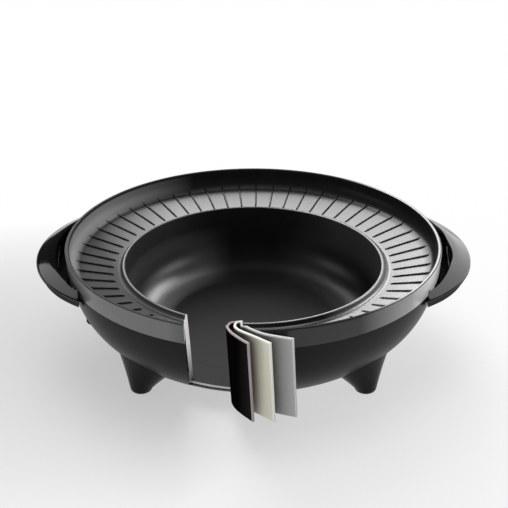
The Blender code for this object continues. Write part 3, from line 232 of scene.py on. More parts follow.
class Wire:
    """A shader socket that takes part in Python sums."""

    def __init__(self, nodes, socket):
        self.nodes = nodes
        self.socket = socket

    def sum(self, operation, first, second):
        return self.nodes.node("Math", {"operation": operation}, {0: first, 1: second})

    def __add__(self, other):
        return self.sum("ADD", self, other)

    __radd__ = __add__

    def __sub__(self, other):
        return self.sum("SUBTRACT", self, other)

    def __rsub__(self, other):
        return self.sum("SUBTRACT", other, self)

    def __mul__(self, other):
        return self.sum("MULTIPLY", self, other)

    __rmul__ = __mul__

    def __pow__(self, other):
        return self.sum("POWER", self, other)

    def __rpow__(self, other):
        return self.sum("POWER", other, self)

    def clamped(self):
        return self.nodes.node("Clamp", {}, {"Value": self}, "Result")


class Nodes:
    """The nodes of a material or a world, with a single method that makes any node."""

    def __init__(self, owner):
        owner.use_nodes = True
        self.tree = owner.node_tree

    def plug(self, socket, value):
        if isinstance(value, Wire):
            self.tree.links.new(value.socket, socket)
        elif isinstance(value, tuple) and socket.type == "RGBA":
            socket.default_value = (*value, 1.0)
        else:
            socket.default_value = value

    def node(self, kind, settings, values, result=0):
        node = self.tree.nodes.new("ShaderNode" + kind)
        for name, value in settings.items():
            setattr(node, name, value)
        for name, value in values.items():
            self.plug(node.inputs[name], value)
        return Wire(self, node.outputs[result])

    def rays(self, kind):
        return self.node("LightPath", {}, {}, "Is " + kind + " Ray")

    def blend(self, factor, first, second):
        return self.node("MixShader", {}, {0: factor, 1: first, 2: second})

    def surface(self, output, shader):
        self.plug(self.tree.nodes[output].inputs["Surface"], shader)


class Finish(Nodes):
    """One material, with the maths that its masks and tones share."""

    def __init__(self, name):
        self.material = bpy.data.materials.new(name)
        super().__init__(self.material)
        self.shader = self.tree.nodes["Principled BSDF"]
        self.place = self.node("TexCoord", {}, {}, "Object")

    def set(self, **values):
        for name, value in values.items():
            self.plug(self.shader.inputs[name.replace("_", " ")], value)

    def noise(self, scale, detail=2.0):
        values = {"Vector": self.place, "Scale": scale, "Detail": detail}
        return self.node("TexNoise", {}, values, "Fac")

    def spread(self, value, low, high, to_low=0.0, to_high=1.0):
        values = {"Value": value, "From Min": low, "From Max": high, "To Min": to_low, "To Max": to_high}
        return self.node("MapRange", {"clamp": True}, values, "Result")

    def within(self, *ramps):
        """A mask: the product of ramps, each a value with where it is nought and where it is one."""
        mask = self.spread(*ramps[0])
        for ramp in ramps[1:]:
            mask = mask * self.spread(*ramp)
        return mask

    def parts(self):
        first = self.node("SeparateXYZ", {}, {0: self.place})
        return [Wire(self, output) for output in first.socket.node.outputs]

    def tint(self, factor, first, second):
        return self.node("Mix", {"data_type": "RGBA"}, {"Factor": factor, 6: first, 7: second}, 2)

    def bump(self, height, distance):
        return self.node("Bump", {}, {"Height": height, "Distance": distance, "Strength": 1.0}, "Normal")


def grey(value):
    return (value, value, value)


def shaded(colour, share):
    return tuple(channel * share for channel in colour)


# Finishes. A ramp in a mask is a value, where it is nought and where it is one, in metres


def painted(name, colour, roughness):
    """Baked satin paint on sheet steel."""
    finish = Finish(name)
    peel = finish.noise(420.0)
    cloud = finish.noise(16.0)
    finish.set(Base_Color=finish.tint(cloud, shaded(colour, 0.9), colour),
               Specular_IOR_Level=0.08,
               Roughness=finish.spread(cloud, 0.3, 0.7, roughness - 0.02, roughness + 0.02),
               Normal=finish.bump(peel, 0.00003))
    return finish.material


def gloss(name, colour, roughness, shine=0.5):
    """Glossy phenolic moulding, with faint flow marks."""
    finish = Finish(name)
    ripple = finish.noise(60.0)
    haze = finish.noise(240.0, 3.0)
    finish.set(Base_Color=colour, Specular_IOR_Level=shine,
               Roughness=finish.spread(haze, 0.3, 0.7, roughness, roughness + 0.05),
               Normal=finish.bump(ripple, 0.00004))
    return finish.material


def sheet_face(name, dark, colour, from_x, to_x, shine=0.05):
    """Satin face of a peeled sheet, darker where it lies behind the sheet before it: painted shade."""
    finish = Finish(name)
    x = finish.parts()[0]
    grain = finish.noise(1500.0)
    cloud = finish.noise(40.0)
    uneven = (cloud - 0.5) * 0.001
    # Painted shade: the face runs from the dark colour to its own colour along x
    finish.set(Base_Color=finish.tint(finish.spread(x + uneven, from_x, to_x), dark, colour),
               Roughness=finish.spread(cloud, 0.25, 0.75, 0.40, 0.44),
               Specular_IOR_Level=shine,
               Normal=finish.bump(grain, 0.00002))
    return finish.material


def metal(name, colour, roughness):
    """Bare metal with fine scratches."""
    finish = Finish(name)
    scratches = finish.noise(900.0, 3.0)
    cloud = finish.noise(40.0)
    finish.set(Base_Color=finish.tint(cloud, shaded(colour, 0.88), colour), Metallic=1.0,
               Roughness=finish.spread(scratches, 0.3, 0.7, roughness - 0.05, roughness + 0.06),
               Normal=finish.bump(scratches, 0.00001))
    return finish.material


def matte(name, colour, roughness):
    """Plain matt surface with a fine texture."""
    finish = Finish(name)
    texture = finish.noise(700.0, 3.0)
    finish.set(Base_Color=finish.tint(texture, shaded(colour, 0.85), colour),
               Roughness=roughness, Normal=finish.bump(texture, 0.00004))
    return finish.material


def pan_finish():
    """Matt non-stick coat in the pot, with a smoother, shinier coat on the ring and rim, and painted light
    and highlights in places.
    """
    finish = Finish("pan_coat")
    x, y, z = finish.parts()
    radius = (x * x + y * y) ** 0.5
    cloud = finish.noise(28.0, 3.0)

    # Share of the shiny coat: full on the ring, thin on the rim wall and on the left
    outer_shift = finish.spread(y, 0.05, 0.15) * 0.005
    ring = finish.within((radius, 0.1318, 0.1328), (z, 0.1130, 0.1100, 0.25, 1.0),
                         (radius + outer_shift, 0.1835, 0.1735, 0.03, 1.0))
    calm = finish.within((x + y * 0.5, -0.02, -0.15), (radius, 0.1338, 0.1352, 0.55, 1.0),
                         (y, 0.0, -0.07, 0.93, 1.0))

    # Coat of the pot, with painted light that makes it paler on its wall at either side
    tone = finish.tint(finish.spread(cloud, 0.3, 0.7), (0.010, 0.010, 0.0108), (0.013, 0.013, 0.014))
    wall = finish.within((z, 0.035, 0.060), (radius, 0.133, 0.131), (x * x, 0.002, 0.009))
    tone = finish.tint(wall, tone, (0.040, 0.040, 0.041))

    # Painted light and highlights: paler tones on the fillet on the left, the collar flank on the right, the
    # flank and ring at the front left, and the lips on the right
    fillet = finish.within((radius, 0.176, 0.184), (x, -0.07, -0.165), (z, 0.1125, 0.1105))
    tone = finish.tint(fillet, tone, grey(0.31))
    flank = finish.within((radius, 0.1322, 0.1332), (radius, 0.1415, 0.1398), (x, 0.065, 0.115),
                          (y, 0.07, -0.05))
    tone = finish.tint(flank, tone, grey(0.25))
    front = finish.within((radius, 0.1333, 0.1340), (radius, 0.1400, 0.1370), (x, 0.02, -0.03),
                          (y, 0.02, -0.06))
    tone = finish.tint(front, tone, grey(0.070))
    lip = finish.within((radius, 0.1311, 0.1316), (radius, 0.1333, 0.1327), (x, 0.01, 0.07))
    tone = finish.tint(lip, tone, grey(0.42))
    # Painted highlight on the rim's top edge on the right
    edge = finish.within((radius, 0.1864, 0.1870), (radius, 0.1890, 0.1884), (z, 0.1120, 0.1130),
                         (x, 0.10, 0.15))
    tone = finish.tint(edge, tone, grey(0.60))

    # Round corner at the foot of the pot's wall, made to reflect at its sides towards the back, with a
    # painted highlight that shines more on the left
    corner = finish.within((radius, 0.085, 0.112), (z, 0.070, 0.040), (x * x, 0.0006, 0.0070),
                           (y, -0.06, 0.0))
    shine = finish.tint(finish.spread(x, 0.02, -0.05), grey(0.075), grey(0.26))
    tone = finish.tint(corner, tone, shine)

    specks = finish.spread(finish.noise(2600.0, 0.0), 0.70, 0.80)
    finish.set(Base_Color=finish.tint(specks * 0.25, tone, grey(0.05)),
               Roughness=0.42 + (cloud - 0.5) * 0.05, Metallic=corner, Specular_IOR_Level=0.06,
               Coat_Weight=ring * (1.0 - calm), Coat_IOR=1.65, Coat_Roughness=0.20,
               Normal=finish.bump(finish.noise(900.0), 0.000008))
    return finish.material


def band_finish():
    """Satin coat of the rim band, greyer towards the sides from painted reflection, with a painted highlight
    that glows at its front right.
    """
    finish = Finish("band_coat")
    x, y = finish.parts()[:2]
    cloud = finish.noise(28.0, 3.0)
    # Painted reflection: darkest at the front middle, greyer to the left and palest to the right
    tone = finish.tint(finish.spread(x, -0.040, -0.076), (0.024, 0.024, 0.025), (0.170, 0.170, 0.173))
    tone = finish.tint(finish.spread(x, 0.095, 0.168), tone, (0.48, 0.48, 0.485))
    # Painted highlight: the band's front right glows
    painted_glow = finish.within((x, 0.146, 0.166), (y, -0.03, -0.08))
    finish.set(Base_Color=tone, Roughness=finish.spread(cloud, 0.25, 0.75, 0.22, 0.26),
               Specular_IOR_Level=0.40,
               Emission_Color=finish.tint(painted_glow, BLACK, grey(0.28)), Emission_Strength=1.0,
               Normal=finish.bump(finish.noise(1500.0), 0.00003))
    return finish.material


def section_finish():
    """Cut face of the wall on the left of the window: bare pale metal with painted light and shade, the rest
    coated dark.
    """
    finish = Finish("cut_section")
    x, y, z = finish.parts()
    radius = (x * x + y * y) ** 0.5
    side = finish.within((radius, 0.1302, 0.1306), (x, -0.0500, -0.0510), (z, 0.0193, 0.0195))
    sill = finish.within((radius, 0.1343, 0.1349), (x, -0.010, -0.012), (z, 0.0195, 0.0193))
    wall = (side + sill).clamped()
    # Painted light and shade: the bare metal is darker at its foot, paler and glowing higher up
    rise = finish.spread(z, 0.021, 0.060)
    # Painted light: the cut inside the pot glows faintly
    inside = finish.within((radius, 0.1304, 0.1300), (z, 0.0193, 0.0195))
    pale = finish.tint(rise, grey(0.30), (0.62, 0.61, 0.61))
    painted_glow = finish.tint(rise * wall, BLACK, (0.36, 0.35, 0.35))
    finish.set(Base_Color=finish.tint(wall, (0.012, 0.012, 0.013), pale), Roughness=0.42,
               Specular_IOR_Level=0.06,
               Emission_Color=finish.tint(inside, painted_glow, grey(0.042)), Emission_Strength=1.0,
               Normal=finish.bump(finish.noise(900.0), 0.00001))
    return finish.material


def floor_finish():
    """Pale matt floor with a painted shadow to the left of the pot, fading to plain white towards the back
    for camera and mirror rays.
    """
    finish = Finish("floor_paper")
    x, y = finish.parts()[:2]
    left, front = x + 0.25, y + 0.03
    # Painted shadow: a soft darker patch on the floor to the left of the pot
    shade = 1.0 - finish.spread(left * left + front * front, 0.10, 0.0, 0.0, 0.62)
    far = finish.spread(y, -0.40, 0.60, 0.45, 1.0)
    seen = finish.rays("Camera") + finish.rays("Glossy") + finish.rays("Transmission")
    white = finish.node("Emission", {}, {"Color": finish.tint(shade, grey(0.55), WHITE), "Strength": 1.0})
    finish.set(Base_Color=finish.tint(shade, grey(0.50), grey(0.84)), Roughness=0.9)
    paper = Wire(finish, finish.shader.outputs[0])
    finish.surface("Material Output", finish.blend(far * seen.clamped(), paper, white))
    return finish.material


FINISHES = {
    "pan": pan_finish(),
    "band": band_finish(),
    "shell": painted("shell_paint", (0.019, 0.019, 0.0205), 0.34),
    "section": section_finish(),
    "handle": gloss("handle_gloss", (0.003, 0.003, 0.0035), 0.06),
    # Painted light: a flat matt grey for the handles' side below, in place of its reflection
    "handle_side_painted_light": gloss("handle_side_painted_light", (0.050, 0.050, 0.051), 0.5, 0.0),
    "foot": gloss("foot_gloss", (0.004, 0.004, 0.0045), 0.26, 0.15),
    "rubber": matte("pad_rubber", grey(0.02), 0.8),
    # Faces of the peeled sheets carry painted shade towards the sheet before them
    "coat_sheet": sheet_face("peeled_coat", (0.002, 0.0015, 0.0015), (0.011, 0.0095, 0.0095),
                             -0.014, -0.004, 0.0),
    "coat_edge": matte("peeled_coat_edge", (0.34, 0.28, 0.29), 0.55),
    "alloy_sheet": sheet_face("peeled_alloy", (0.10, 0.095, 0.08), (0.62, 0.60, 0.50), -0.008, 0.010),
    "alloy_edge": matte("peeled_alloy_edge", (0.80, 0.79, 0.74), 0.5),
    "outer_sheet": sheet_face("peeled_outer", grey(0.10), grey(0.36), 0.012, 0.034),
    "outer_edge": matte("peeled_outer_edge", grey(0.55), 0.5),
    "steel": metal("plain_steel", (0.55, 0.55, 0.56), 0.32),
    "brass": metal("plain_brass", (0.62, 0.46, 0.20), 0.30),
    "ceramic": matte("steatite", (0.72, 0.70, 0.66), 0.6),
    "red": matte("lead_red", (0.45, 0.04, 0.03), 0.5),
    "blue": matte("lead_blue", (0.05, 0.09, 0.35), 0.5),
    "white": matte("lead_white", (0.65, 0.64, 0.60), 0.5),
    "floor": floor_finish(),
}


# Shaping


def polar(radius, degrees):
    return (radius * math.cos(math.radians(degrees)), radius * math.sin(math.radians(degrees)))


def arc(centre, radius, start, end, steps):
    points = []
    for step in range(steps + 1):
        x, y = polar(radius, start + (end - start) * step / steps)
        points.append((centre[0] + x, centre[1] + y))
    return points


def curve(start, pull, end, steps):
    """Points of a curve that leaves the start and reaches the end, heading by way of the pull."""
    points = []
    for step in range(steps + 1):
        t = step / steps
        points.append(tuple((1 - t) ** 2 * a + 2 * t * (1 - t) * b + t * t * c
                            for a, b, c in zip(start, pull, end)))
    return points


def at_height(plan, z):
    return [(x, y, z) for x, y in plan]


def spun(profile, steps=CUTTER_STEPS):
    """A closed profile of radius and height, spun round Z."""
    bm = bmesh.new()
    verts = [bm.verts.new((r, 0, z)) for r, z in profile]
    edges = [bm.edges.new(pair) for pair in zip(verts, verts[1:] + verts[:1])
             if pair[0].co.x or pair[1].co.x]
    bmesh.ops.spin(bm, geom=verts + edges, cent=(0, 0, 0), axis=(0, 0, 1), angle=2 * math.pi,
                   steps=steps, use_merge=True)
    bmesh.ops.remove_doubles(bm, verts=bm.verts, dist=1e-6)
    bmesh.ops.recalc_face_normals(bm, faces=bm.faces)
    return bm


def raised(outline, low, high):
    """A plan outline raised from one height to another."""
    bm = bmesh.new()
    face = bm.faces.new([bm.verts.new(point) for point in at_height(outline, low)])
    top = bmesh.ops.extrude_face_region(bm, geom=[face])["geom"]
    bmesh.ops.translate(bm, vec=(0, 0, high - low),
                        verts=[item for item in top if isinstance(item, bmesh.types.BMVert)])
    bmesh.ops.recalc_face_normals(bm, faces=bm.faces)
    return bm


def bridged(rings):
    """A closed skin through rings of points, with a cap at each end."""
    bm = bmesh.new()
    loops = []
    for ring in rings:
        verts = [bm.verts.new(point) for point in ring]
        loops.append([bm.edges.new(pair) for pair in zip(verts, verts[1:] + verts[:1])])
    for low, high in zip(loops[:-1], loops[1:]):
        bmesh.ops.bridge_loops(bm, edges=low + high)
    bmesh.ops.holes_fill(bm, edges=[edge for edge in bm.edges if edge.is_boundary])
    bmesh.ops.recalc_face_normals(bm, faces=bm.faces)
    return bm


def mesh_object(name, bm, *finishes):
    mesh = bpy.data.meshes.new(name)
    bm.to_mesh(mesh)
    bm.free()
    obj = bpy.data.objects.new(name, mesh)
    bpy.context.scene.collection.objects.link(obj)
    for finish in finishes:
        mesh.materials.append(FINISHES[finish])
    return obj


def smooth(obj, degrees=32):
    obj.data.shade_smooth()
    obj.data.set_sharp_from_angle(angle=math.radians(degrees))


def settle(obj):
    """Make what the modifiers give the piece's own mesh."""
    graph = bpy.context.evaluated_depsgraph_get()
    mesh = bpy.data.meshes.new_from_object(obj.evaluated_get(graph), depsgraph=graph)
    obj.modifiers.clear()
    obj.data = mesh


def cut(obj, bm, operation="DIFFERENCE", finish=None):
    """Cut a helper from a piece, or join it on."""
    helper = mesh_object("helper", bm, *([finish] if finish else []))
    modifier = obj.modifiers.new("cut", "BOOLEAN")
    modifier.operation = operation
    modifier.solver = "EXACT"
    modifier.object = helper
    modifier.material_mode = "TRANSFER" if finish else "INDEX"
    settle(obj)
    bpy.data.objects.remove(helper)


def softened(obj, width, segments, degrees):
    """Round the hard edges of a finished shape."""
    modifier = obj.modifiers.new("edges", "BEVEL")
    modifier.width = width
    modifier.segments = segments
    modifier.limit_method = "ANGLE"
    modifier.angle_limit = math.radians(degrees)
    modifier.harden_normals = False
    settle(obj)
    smooth(obj)


def placed(piece, body, node=None):
    """Put a piece on its body, and hide the node it stands for."""
    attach(piece, body)
    if node:
        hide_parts(node)
    return piece


# Pan


def window():
    """The cut in the front: through the wall on radial lines, then out past the rim."""
    rings = []
    for (wall, rim), z in zip(LEFT_CUT, (POT_FLOOR + GAP, RIM_TOP + OVERRUN)):
        left = [polar(CUT_CORNER, -wall - CUT_CORNER_TURN), polar(CUT_WALL, -wall),
                polar(POT_RADIUS + POT_WALL, -wall), polar(CUT_REACH, -rim)]
        right = [polar(CUT_REACH, -RIGHT_CUT[1]), polar(POT_RADIUS + POT_WALL, -RIGHT_CUT[0]),
                 polar(CUT_INNER, -RIGHT_CUT[0])]
        rings.append(at_height(left + right, z))
    return bridged(rings)


def shell_line(grow, steps=60):
    """Side of the shell from its top to its floor, grown outwards."""
    points = []
    for step in range(steps + 1):
        turn = math.pi / 2 * step / steps
        out = max(math.cos(turn), 0) ** SHELL_OUT_POWER
        down = math.sin(turn) ** SHELL_DOWN_POWER
        points.append((SHELL_FLOOR + (SHELL_TOP + grow - SHELL_FLOOR) * out,
                       SHELL_TOP_Z - (SHELL_TOP_Z - SHELL_FLOOR_Z + grow) * down))
    return points


def cut_sill():
    """The pot's corner at the cut, which reaches out to the shell there."""
    inside = [point for point in shell_line(-SHEET - CLEARANCE) if SILL_LOW < point[1] < SILL_TOP]
    profile = [(SILL_INNER, SILL_TOP)] + inside + [(SILL_INNER, inside[-1][1])]
    steps = 24
    rings = []
    for step in range(steps + 1):
        degrees = SILL_FROM + (SILL_TO - SILL_FROM) * step / steps
        rings.append([(*polar(radius, degrees), z) for radius, z in profile])
    return bridged(rings)


def ring_z(radius):
    return RING_INNER_Z + (radius - RING_INNER) * RING_SLOPE


def fillet_seat():
    """Radius where the ring's slope meets its outer fillet, and the fillet's middle height."""
    tilt = math.atan(RING_SLOPE)
    touch = FILLET_AT + FILLET * math.sin(tilt)
    return touch, ring_z(touch) + FILLET * math.cos(tilt)


def ring_surface(radius):
    """Height of the ring's upper face, its outer fillet included."""
    touch, middle = fillet_seat()
    if radius < touch:
        return ring_z(radius)
    return middle - math.sqrt(FILLET ** 2 - (radius - FILLET_AT) ** 2)


def pan_profile():
    """Section of the casting: rim, band, underside, pot, collar, ring and fillet."""
    tilt = math.degrees(math.atan(RING_SLOPE))
    outer = POT_RADIUS + POT_WALL
    profile = arc((RIM_INNER + RIM_ROUND, RIM_TOP - RIM_ROUND), RIM_ROUND, 180, 90, 6)
    profile += arc((RIM_RADIUS - RIM_ROUND, RIM_TOP - RIM_ROUND), RIM_ROUND, 90, 0, 6)
    profile += [(RIM_RADIUS - BAND_DRAFT, BAND_BOTTOM + BAND_ROUND)]
    profile += arc((RIM_RADIUS - BAND_DRAFT - BAND_ROUND, BAND_BOTTOM + BAND_ROUND),
                   BAND_ROUND, -15, -90, 3)
    profile += [(BAND_SEAT, BAND_BOTTOM), (FILLET_AT, ring_z(FILLET_AT) - RING_WALL),
                (RING_INNER, RING_INNER_Z - RING_WALL),
                (outer + RING_CHAMFER, RING_INNER_Z - RING_WALL - RING_CHAMFER),
                (outer, RING_INNER_Z - RING_WALL - POT_WALL)]
    profile += arc((outer - POT_DRAFT - POT_CORNER, POT_UNDER + POT_CORNER), POT_CORNER, 0, -90, 12)
    profile += [(GROOVE_OUTER, POT_UNDER), (GROOVE_OUTER, GROOVE_ROOF),
                (GROOVE_INNER, GROOVE_ROOF), (GROOVE_INNER, POT_UNDER),
                (0, POT_UNDER), (0, POT_FLOOR)]
    profile += arc((POT_RADIUS - POT_DRAFT - POT_FILLET, POT_FLOOR + POT_FILLET), POT_FILLET, -90, 0, 20)
    profile += arc((POT_RADIUS + COLLAR_ROUND, COLLAR_TOP - COLLAR_ROUND), COLLAR_ROUND, 180, 90, 5)
    profile += arc((POT_RADIUS + COLLAR_LIP - COLLAR_ROUND, COLLAR_TOP - COLLAR_ROUND),
                   COLLAR_ROUND, 75, 30, 4)
    profile += curve(FLANK_TOP, FLANK_PULL, (FLANK_FOOT, ring_z(FLANK_FOOT)), 8)
    return profile + arc((FILLET_AT, fillet_seat()[1]), FILLET, tilt - 90, 0, 14)


def pan():
    """The casting, with the window cut through it and the band in its own finish."""
    piece = mesh_object("pan_casting", spun(pan_profile(), PAN_STEPS), "pan", "band", "section")
    cut(piece, cut_sill(), "UNION")
    cut(piece, window(), finish="section")
    smooth(piece)
    band_inner = RIM_RADIUS - 0.0015
    band_top = RIM_TOP - 0.0005
    for face in piece.data.polygons:
        if face.material_index == SECTION:
            face.use_smooth = False
        middle = face.center
        on_band = math.hypot(middle.x, middle.y) > band_inner and BAND_BOTTOM < middle.z < band_top
        if on_band and face.material_index == PAN:
            face.material_index = BAND
    return placed(piece, "pan", "grill_pan")


def rib(angle):
    """One thin straight rib with a rounded back, which starts farther out in front."""
    start = RIB_START + RIB_START_FRONT * max(0.0, -math.sin(math.radians(angle)))
    rings = []
    for share, rise_share in RIB_RISE_SHARES:
        radius = start + (RIB_END - start) * share
        base = ring_surface(radius)
        ring = [(radius, side * RIB_HALF * RIB_ROOT_SHARE, base - RIB_ROOT) for side in (-1, 1)]
        ring += [(radius, RIB_HALF * across, base + RIB_HEIGHT * rise_share * up - RIB_SINK)
                 for across, up in RIB_BACK_SHARES]
        rings.append(ring)
    bm = bridged(rings)
    bmesh.ops.rotate(bm, verts=bm.verts, cent=(0, 0, 0), matrix=Matrix.Rotation(math.radians(angle), 3, "Z"))
    return bm


def ribs():
    """The ring's ribs, all but those that the window takes."""
    whole = bmesh.new()
    for index in range(RIB_COUNT):
        angle = RIB_FIRST + 360 * index / RIB_COUNT
        if RIB_CUT_FROM < (angle + 180) % 360 - 180 < RIB_CUT_TO:
            continue
        bm = rib(angle)
        mesh = bpy.data.meshes.new("rib")
        bm.to_mesh(mesh)
        bm.free()
        whole.from_mesh(mesh)
        bpy.data.meshes.remove(mesh)
    piece = mesh_object("ring_ribs", whole, "pan")
    smooth(piece, 50)
    placed(piece, "pan")


# Peeled layers


def smooth_path(points, steps):
    """A smooth curve through the points."""
    vectors = [Vector(point) for point in points]
    padded = [2 * vectors[0] - vectors[1]] + vectors + [2 * vectors[-1] - vectors[-2]]
    path = []
    for before, start, end, after in zip(padded, padded[1:], padded[2:], padded[3:]):
        for step in range(steps):
            t = step / steps
            path.append(0.5 * (2 * start + (end - before) * t
                               + (2 * before - 5 * start + 4 * end - after) * t ** 2
                               + (3 * start - before - 3 * end + after) * t ** 3))
    return path + [vectors[-1]]


def reading(table, share):
    """Value of a table at a share, on straight lines between its rows."""
    for (start, low), (end, high) in zip(table[:-1], table[1:]):
        if share <= end:
            return low + (high - low) * (share - start) / (end - start)
    return table[-1][1]


def layer_path(index, depth):
    """Plan of one layer's middle, from the cut wall to its free end, which has a strip of its own."""
    root = polar(depth, -RIGHT_CUT[0] - math.degrees(GAP / POT_RADIUS))
    controls = [(*root, 0)] + [(x * RIM_RADIUS, -y * RIM_RADIUS, 0) for x, y in PATH_SHARES[index]]
    path = smooth_path(controls, 8)
    end = path.pop()
    while (path[-1] - end).length < EDGE_STRIP:
        path.pop()
    return path + [end + (path[-1] - end).normalized() * EDGE_STRIP, end]


def edged_skin(rings):
    """A closed skin through a sheet's rings, with its edge sides and its end in the second finish."""
    bm = bmesh.new()
    rows = [[bm.verts.new(point) for point in ring] for ring in rings]
    for number, (near, far) in enumerate(zip(rows[:-1], rows[1:])):
        for side in range(len(near)):
            after = (side + 1) % len(near)
            face = bm.faces.new((near[side], near[after], far[after], far[side]))
            face.material_index = int(side in EDGE_SIDES or number == len(rows) - 2)
    bm.faces.new(rows[0])
    bm.faces.new(rows[-1]).material_index = 1
    bmesh.ops.recalc_face_normals(bm, faces=bm.faces)
    return bm


def layer(index):
    """A sheet of the wall, bent out of the cut, with a paler edge on its top and free end."""
    node, face_finish, edge_finish, slot = LAYERS[index]
    thickness = (POT_WALL - 2 * GAP) / 3
    path = layer_path(index, POT_RADIUS + (index + 0.5) * thickness + index * GAP)
    lengths = [0.0]
    for before, point in zip(path[:-1], path[1:]):
        lengths.append(lengths[-1] + (point - before).length)
    last = len(path) - 1
    rings = []
    for spot, point in enumerate(path):
        share = lengths[spot] / lengths[-1]
        ahead = path[min(spot + 1, last)] - path[max(spot - 1, 0)]
        across = Vector((-ahead.y, ahead.x, 0)).normalized() * thickness / 2
        if spot == 0:
            across = -Vector((*polar(1, -RIGHT_CUT[0]), 0)) * thickness / 2
        high = COLLAR_TOP + LAYER_TOP_CLIMB * reading(LAYER_RISE, -point.y)
        low = POT_FLOOR + LAYER_FOOT_GAP + LAYER_FOOT_CLIMB * reading(LAYER_FOOT_RISE, share)
        top, strip = Vector((0, 0, high)), Vector((0, 0, high - EDGE_STRIP))
        foot = Vector((LAYER_LEAN * min(2 * share, 1), 0, low))
        rings.append([point + across + top, point - across + top, point - across + strip,
                      point - across + foot, point + across + foot, point + across + strip])
    piece = mesh_object(node + "_sheet", edged_skin(rings), face_finish, edge_finish)
    softened(piece, LAYER_SOFT, 2, 60)
    return placed(piece, "pan", node)


# Base


def shell():
    """The pressed shell with its ledge, less the window and the inlet's opening."""
    profile = shell_line(0) + [(SHELL_HOLE, SHELL_FLOOR_Z), (SHELL_HOLE, SHELL_FLOOR_Z + SHEET)]
    profile += [point for point in reversed(shell_line(-SHEET)) if point[1] < LEDGE_FOOT]
    profile += [(LEDGE_INNER, LEDGE_LOW), (LEDGE_INNER, LEDGE_TOP), (BAND_SEAT, LEDGE_TOP),
                (SHELL_TOP - SHEET, SHELL_TOP_Z)]
    piece = mesh_object("shell_pressing", spun(profile, PAN_STEPS), "shell")
    cut(piece, window(), finish="shell")
    inlet = [(INLET_FAR, -INLET_HALF), (INLET_NEAR, -INLET_HALF),
             (INLET_NEAR, INLET_HALF), (INLET_FAR, INLET_HALF)]
    cut(piece, raised(inlet, INLET_LOW, INLET_TOP))
    smooth(piece)
    placed(piece, "base", "base_shell")


def handle_plan(share, inset, steps=72):
    bend = HANDLE_LOW_BEND + (HANDLE_TOP_BEND - HANDLE_LOW_BEND) * share
    middle = RIM_RADIUS + HANDLE_REACH + HANDLE_SPREAD * share - bend
    half = math.degrees(math.acos((HANDLE_BACK - middle) / (bend - inset)))
    return arc((middle, 0), bend - inset, -half, half, steps)


def recess_plan(reach, steps=64):
    """Plan of the recess beside the rim: a crescent, widest in its middle."""
    plan = [polar(RECESS_INNER, -reach)]
    for step in range(steps + 1):
        share = 2 * step / steps - 1
        plan.append(polar(RIM_RADIUS + RECESS_WIDTH * math.sqrt(1 - share * share), reach * share))
    return plan + [polar(RECESS_INNER, reach)]


def seat_space():
    """The space of pan and shell, with a handle's clearance."""
    step_z = SHELL_TOP_Z - CLEARANCE
    line = [point for point in shell_line(GAP) if point[1] < step_z]
    rim = RIM_RADIUS + CLEARANCE
    return spun([(0, ABOVE_ALL), (rim, ABOVE_ALL), (rim, step_z), (SHELL_TOP + GAP, step_z)]
                + line + [(0, line[-1][1])])


def handle(side_name, turn):
    """A crescent handle: crowned top, recess by the rim, ends cut back, and a flat matt grey side below,
    painted in place of its reflection.
    """
    rings = [at_height(handle_plan(share, inset), HANDLE_LOW_Z + HANDLE_HEIGHT * height)
             for height, share, inset in HANDLE_RINGS]
    rings += [at_height(handle_plan(1.0, inset), HANDLE_LOW_Z + HANDLE_HEIGHT + rise)
              for inset, rise in HANDLE_CROWN]
    piece = mesh_object("handle_" + side_name + "_moulding", bridged(rings), "handle", "handle_side_painted_light")
    cut(piece, seat_space())
    cut(piece, bridged([at_height(recess_plan(reach), z) for reach, z in RECESS_HEIGHTS]))
    for side in (-1, 1):
        end = [(x, y * side) for x, y in HANDLE_END][::side]
        cut(piece, raised(end, HANDLE_END_LOW, HANDLE_END_TOP))
    softened(piece, HANDLE_SOFT, 3, 50)
    # The side below takes a flat matt grey: painted light in place of its reflection
    for face in piece.data.polygons:
        middle, facing = face.center, face.normal
        outward = facing.x * (middle.x - HANDLE_SIDE_CENTRE) + facing.y * middle.y
        if middle.z < HANDLE_SIDE_TOP and outward > HANDLE_SIDE_FACING:
            face.material_index = 1
    piece.data.transform(Matrix.Rotation(math.radians(turn), 4, "Z"))
    return placed(piece, "base", "handle_" + side_name)


def foot(place_name, degrees, steps=64):
    """A tapered foot that flares into the shell, with a seat for its pad."""
    rings = []
    for height, share, grow in FOOT_RINGS:
        along = FOOT_HALF + FOOT_FLARE_ALONG * share + grow
        across = FOOT_HALF + FOOT_FLARE_ACROSS * share + FOOT_FLARE_CURVE * share ** 2 + grow
        middle = FOOT_AT - FOOT_LEAN * share
        turns = [2 * math.pi * step / steps for step in range(steps)]
        rings.append([(middle + along * math.cos(turn), across * math.sin(turn), height) for turn in turns])
    piece = mesh_object("foot_" + place_name + "_moulding", bridged(rings), "foot")
    line = shell_line(GAP)
    cut(piece, spun([(0, SHELL_TOP_Z)] + line + [(0, line[-1][1])]))
    cut(piece, raised(arc((FOOT_AT, 0), PAD_RADIUS, 0, 345, 23), -OVERRUN / 2, PAD_TOP))
    smooth(piece, 40)
    piece.data.transform(Matrix.Rotation(math.radians(degrees), 4, "Z"))
    placed(piece, "base", "foot_" + place_name)


def dress_nodes():
    """Give the solids that have no finer piece their finishes."""
    prefixes = {"rim_gasket": "rubber", "foot_pad": "rubber", "handle_cover": "handle",
                "inlet_housing": "foot", "bottom_cover": "shell", "inlet_block": "ceramic",
                "stud_bead": "ceramic", "lead_live": "red", "lead_neutral": "blue",
                "lead_jumper": "white", "element_stud": "brass", "inlet_pin": "brass"}
    for name, obj in frame["nodes"].items():
        look = next((prefixes[prefix] for prefix in prefixes if name.startswith(prefix)), "steel")
        obj.data.materials.clear()
        obj.data.materials.append(FINISHES[look])


# Studio


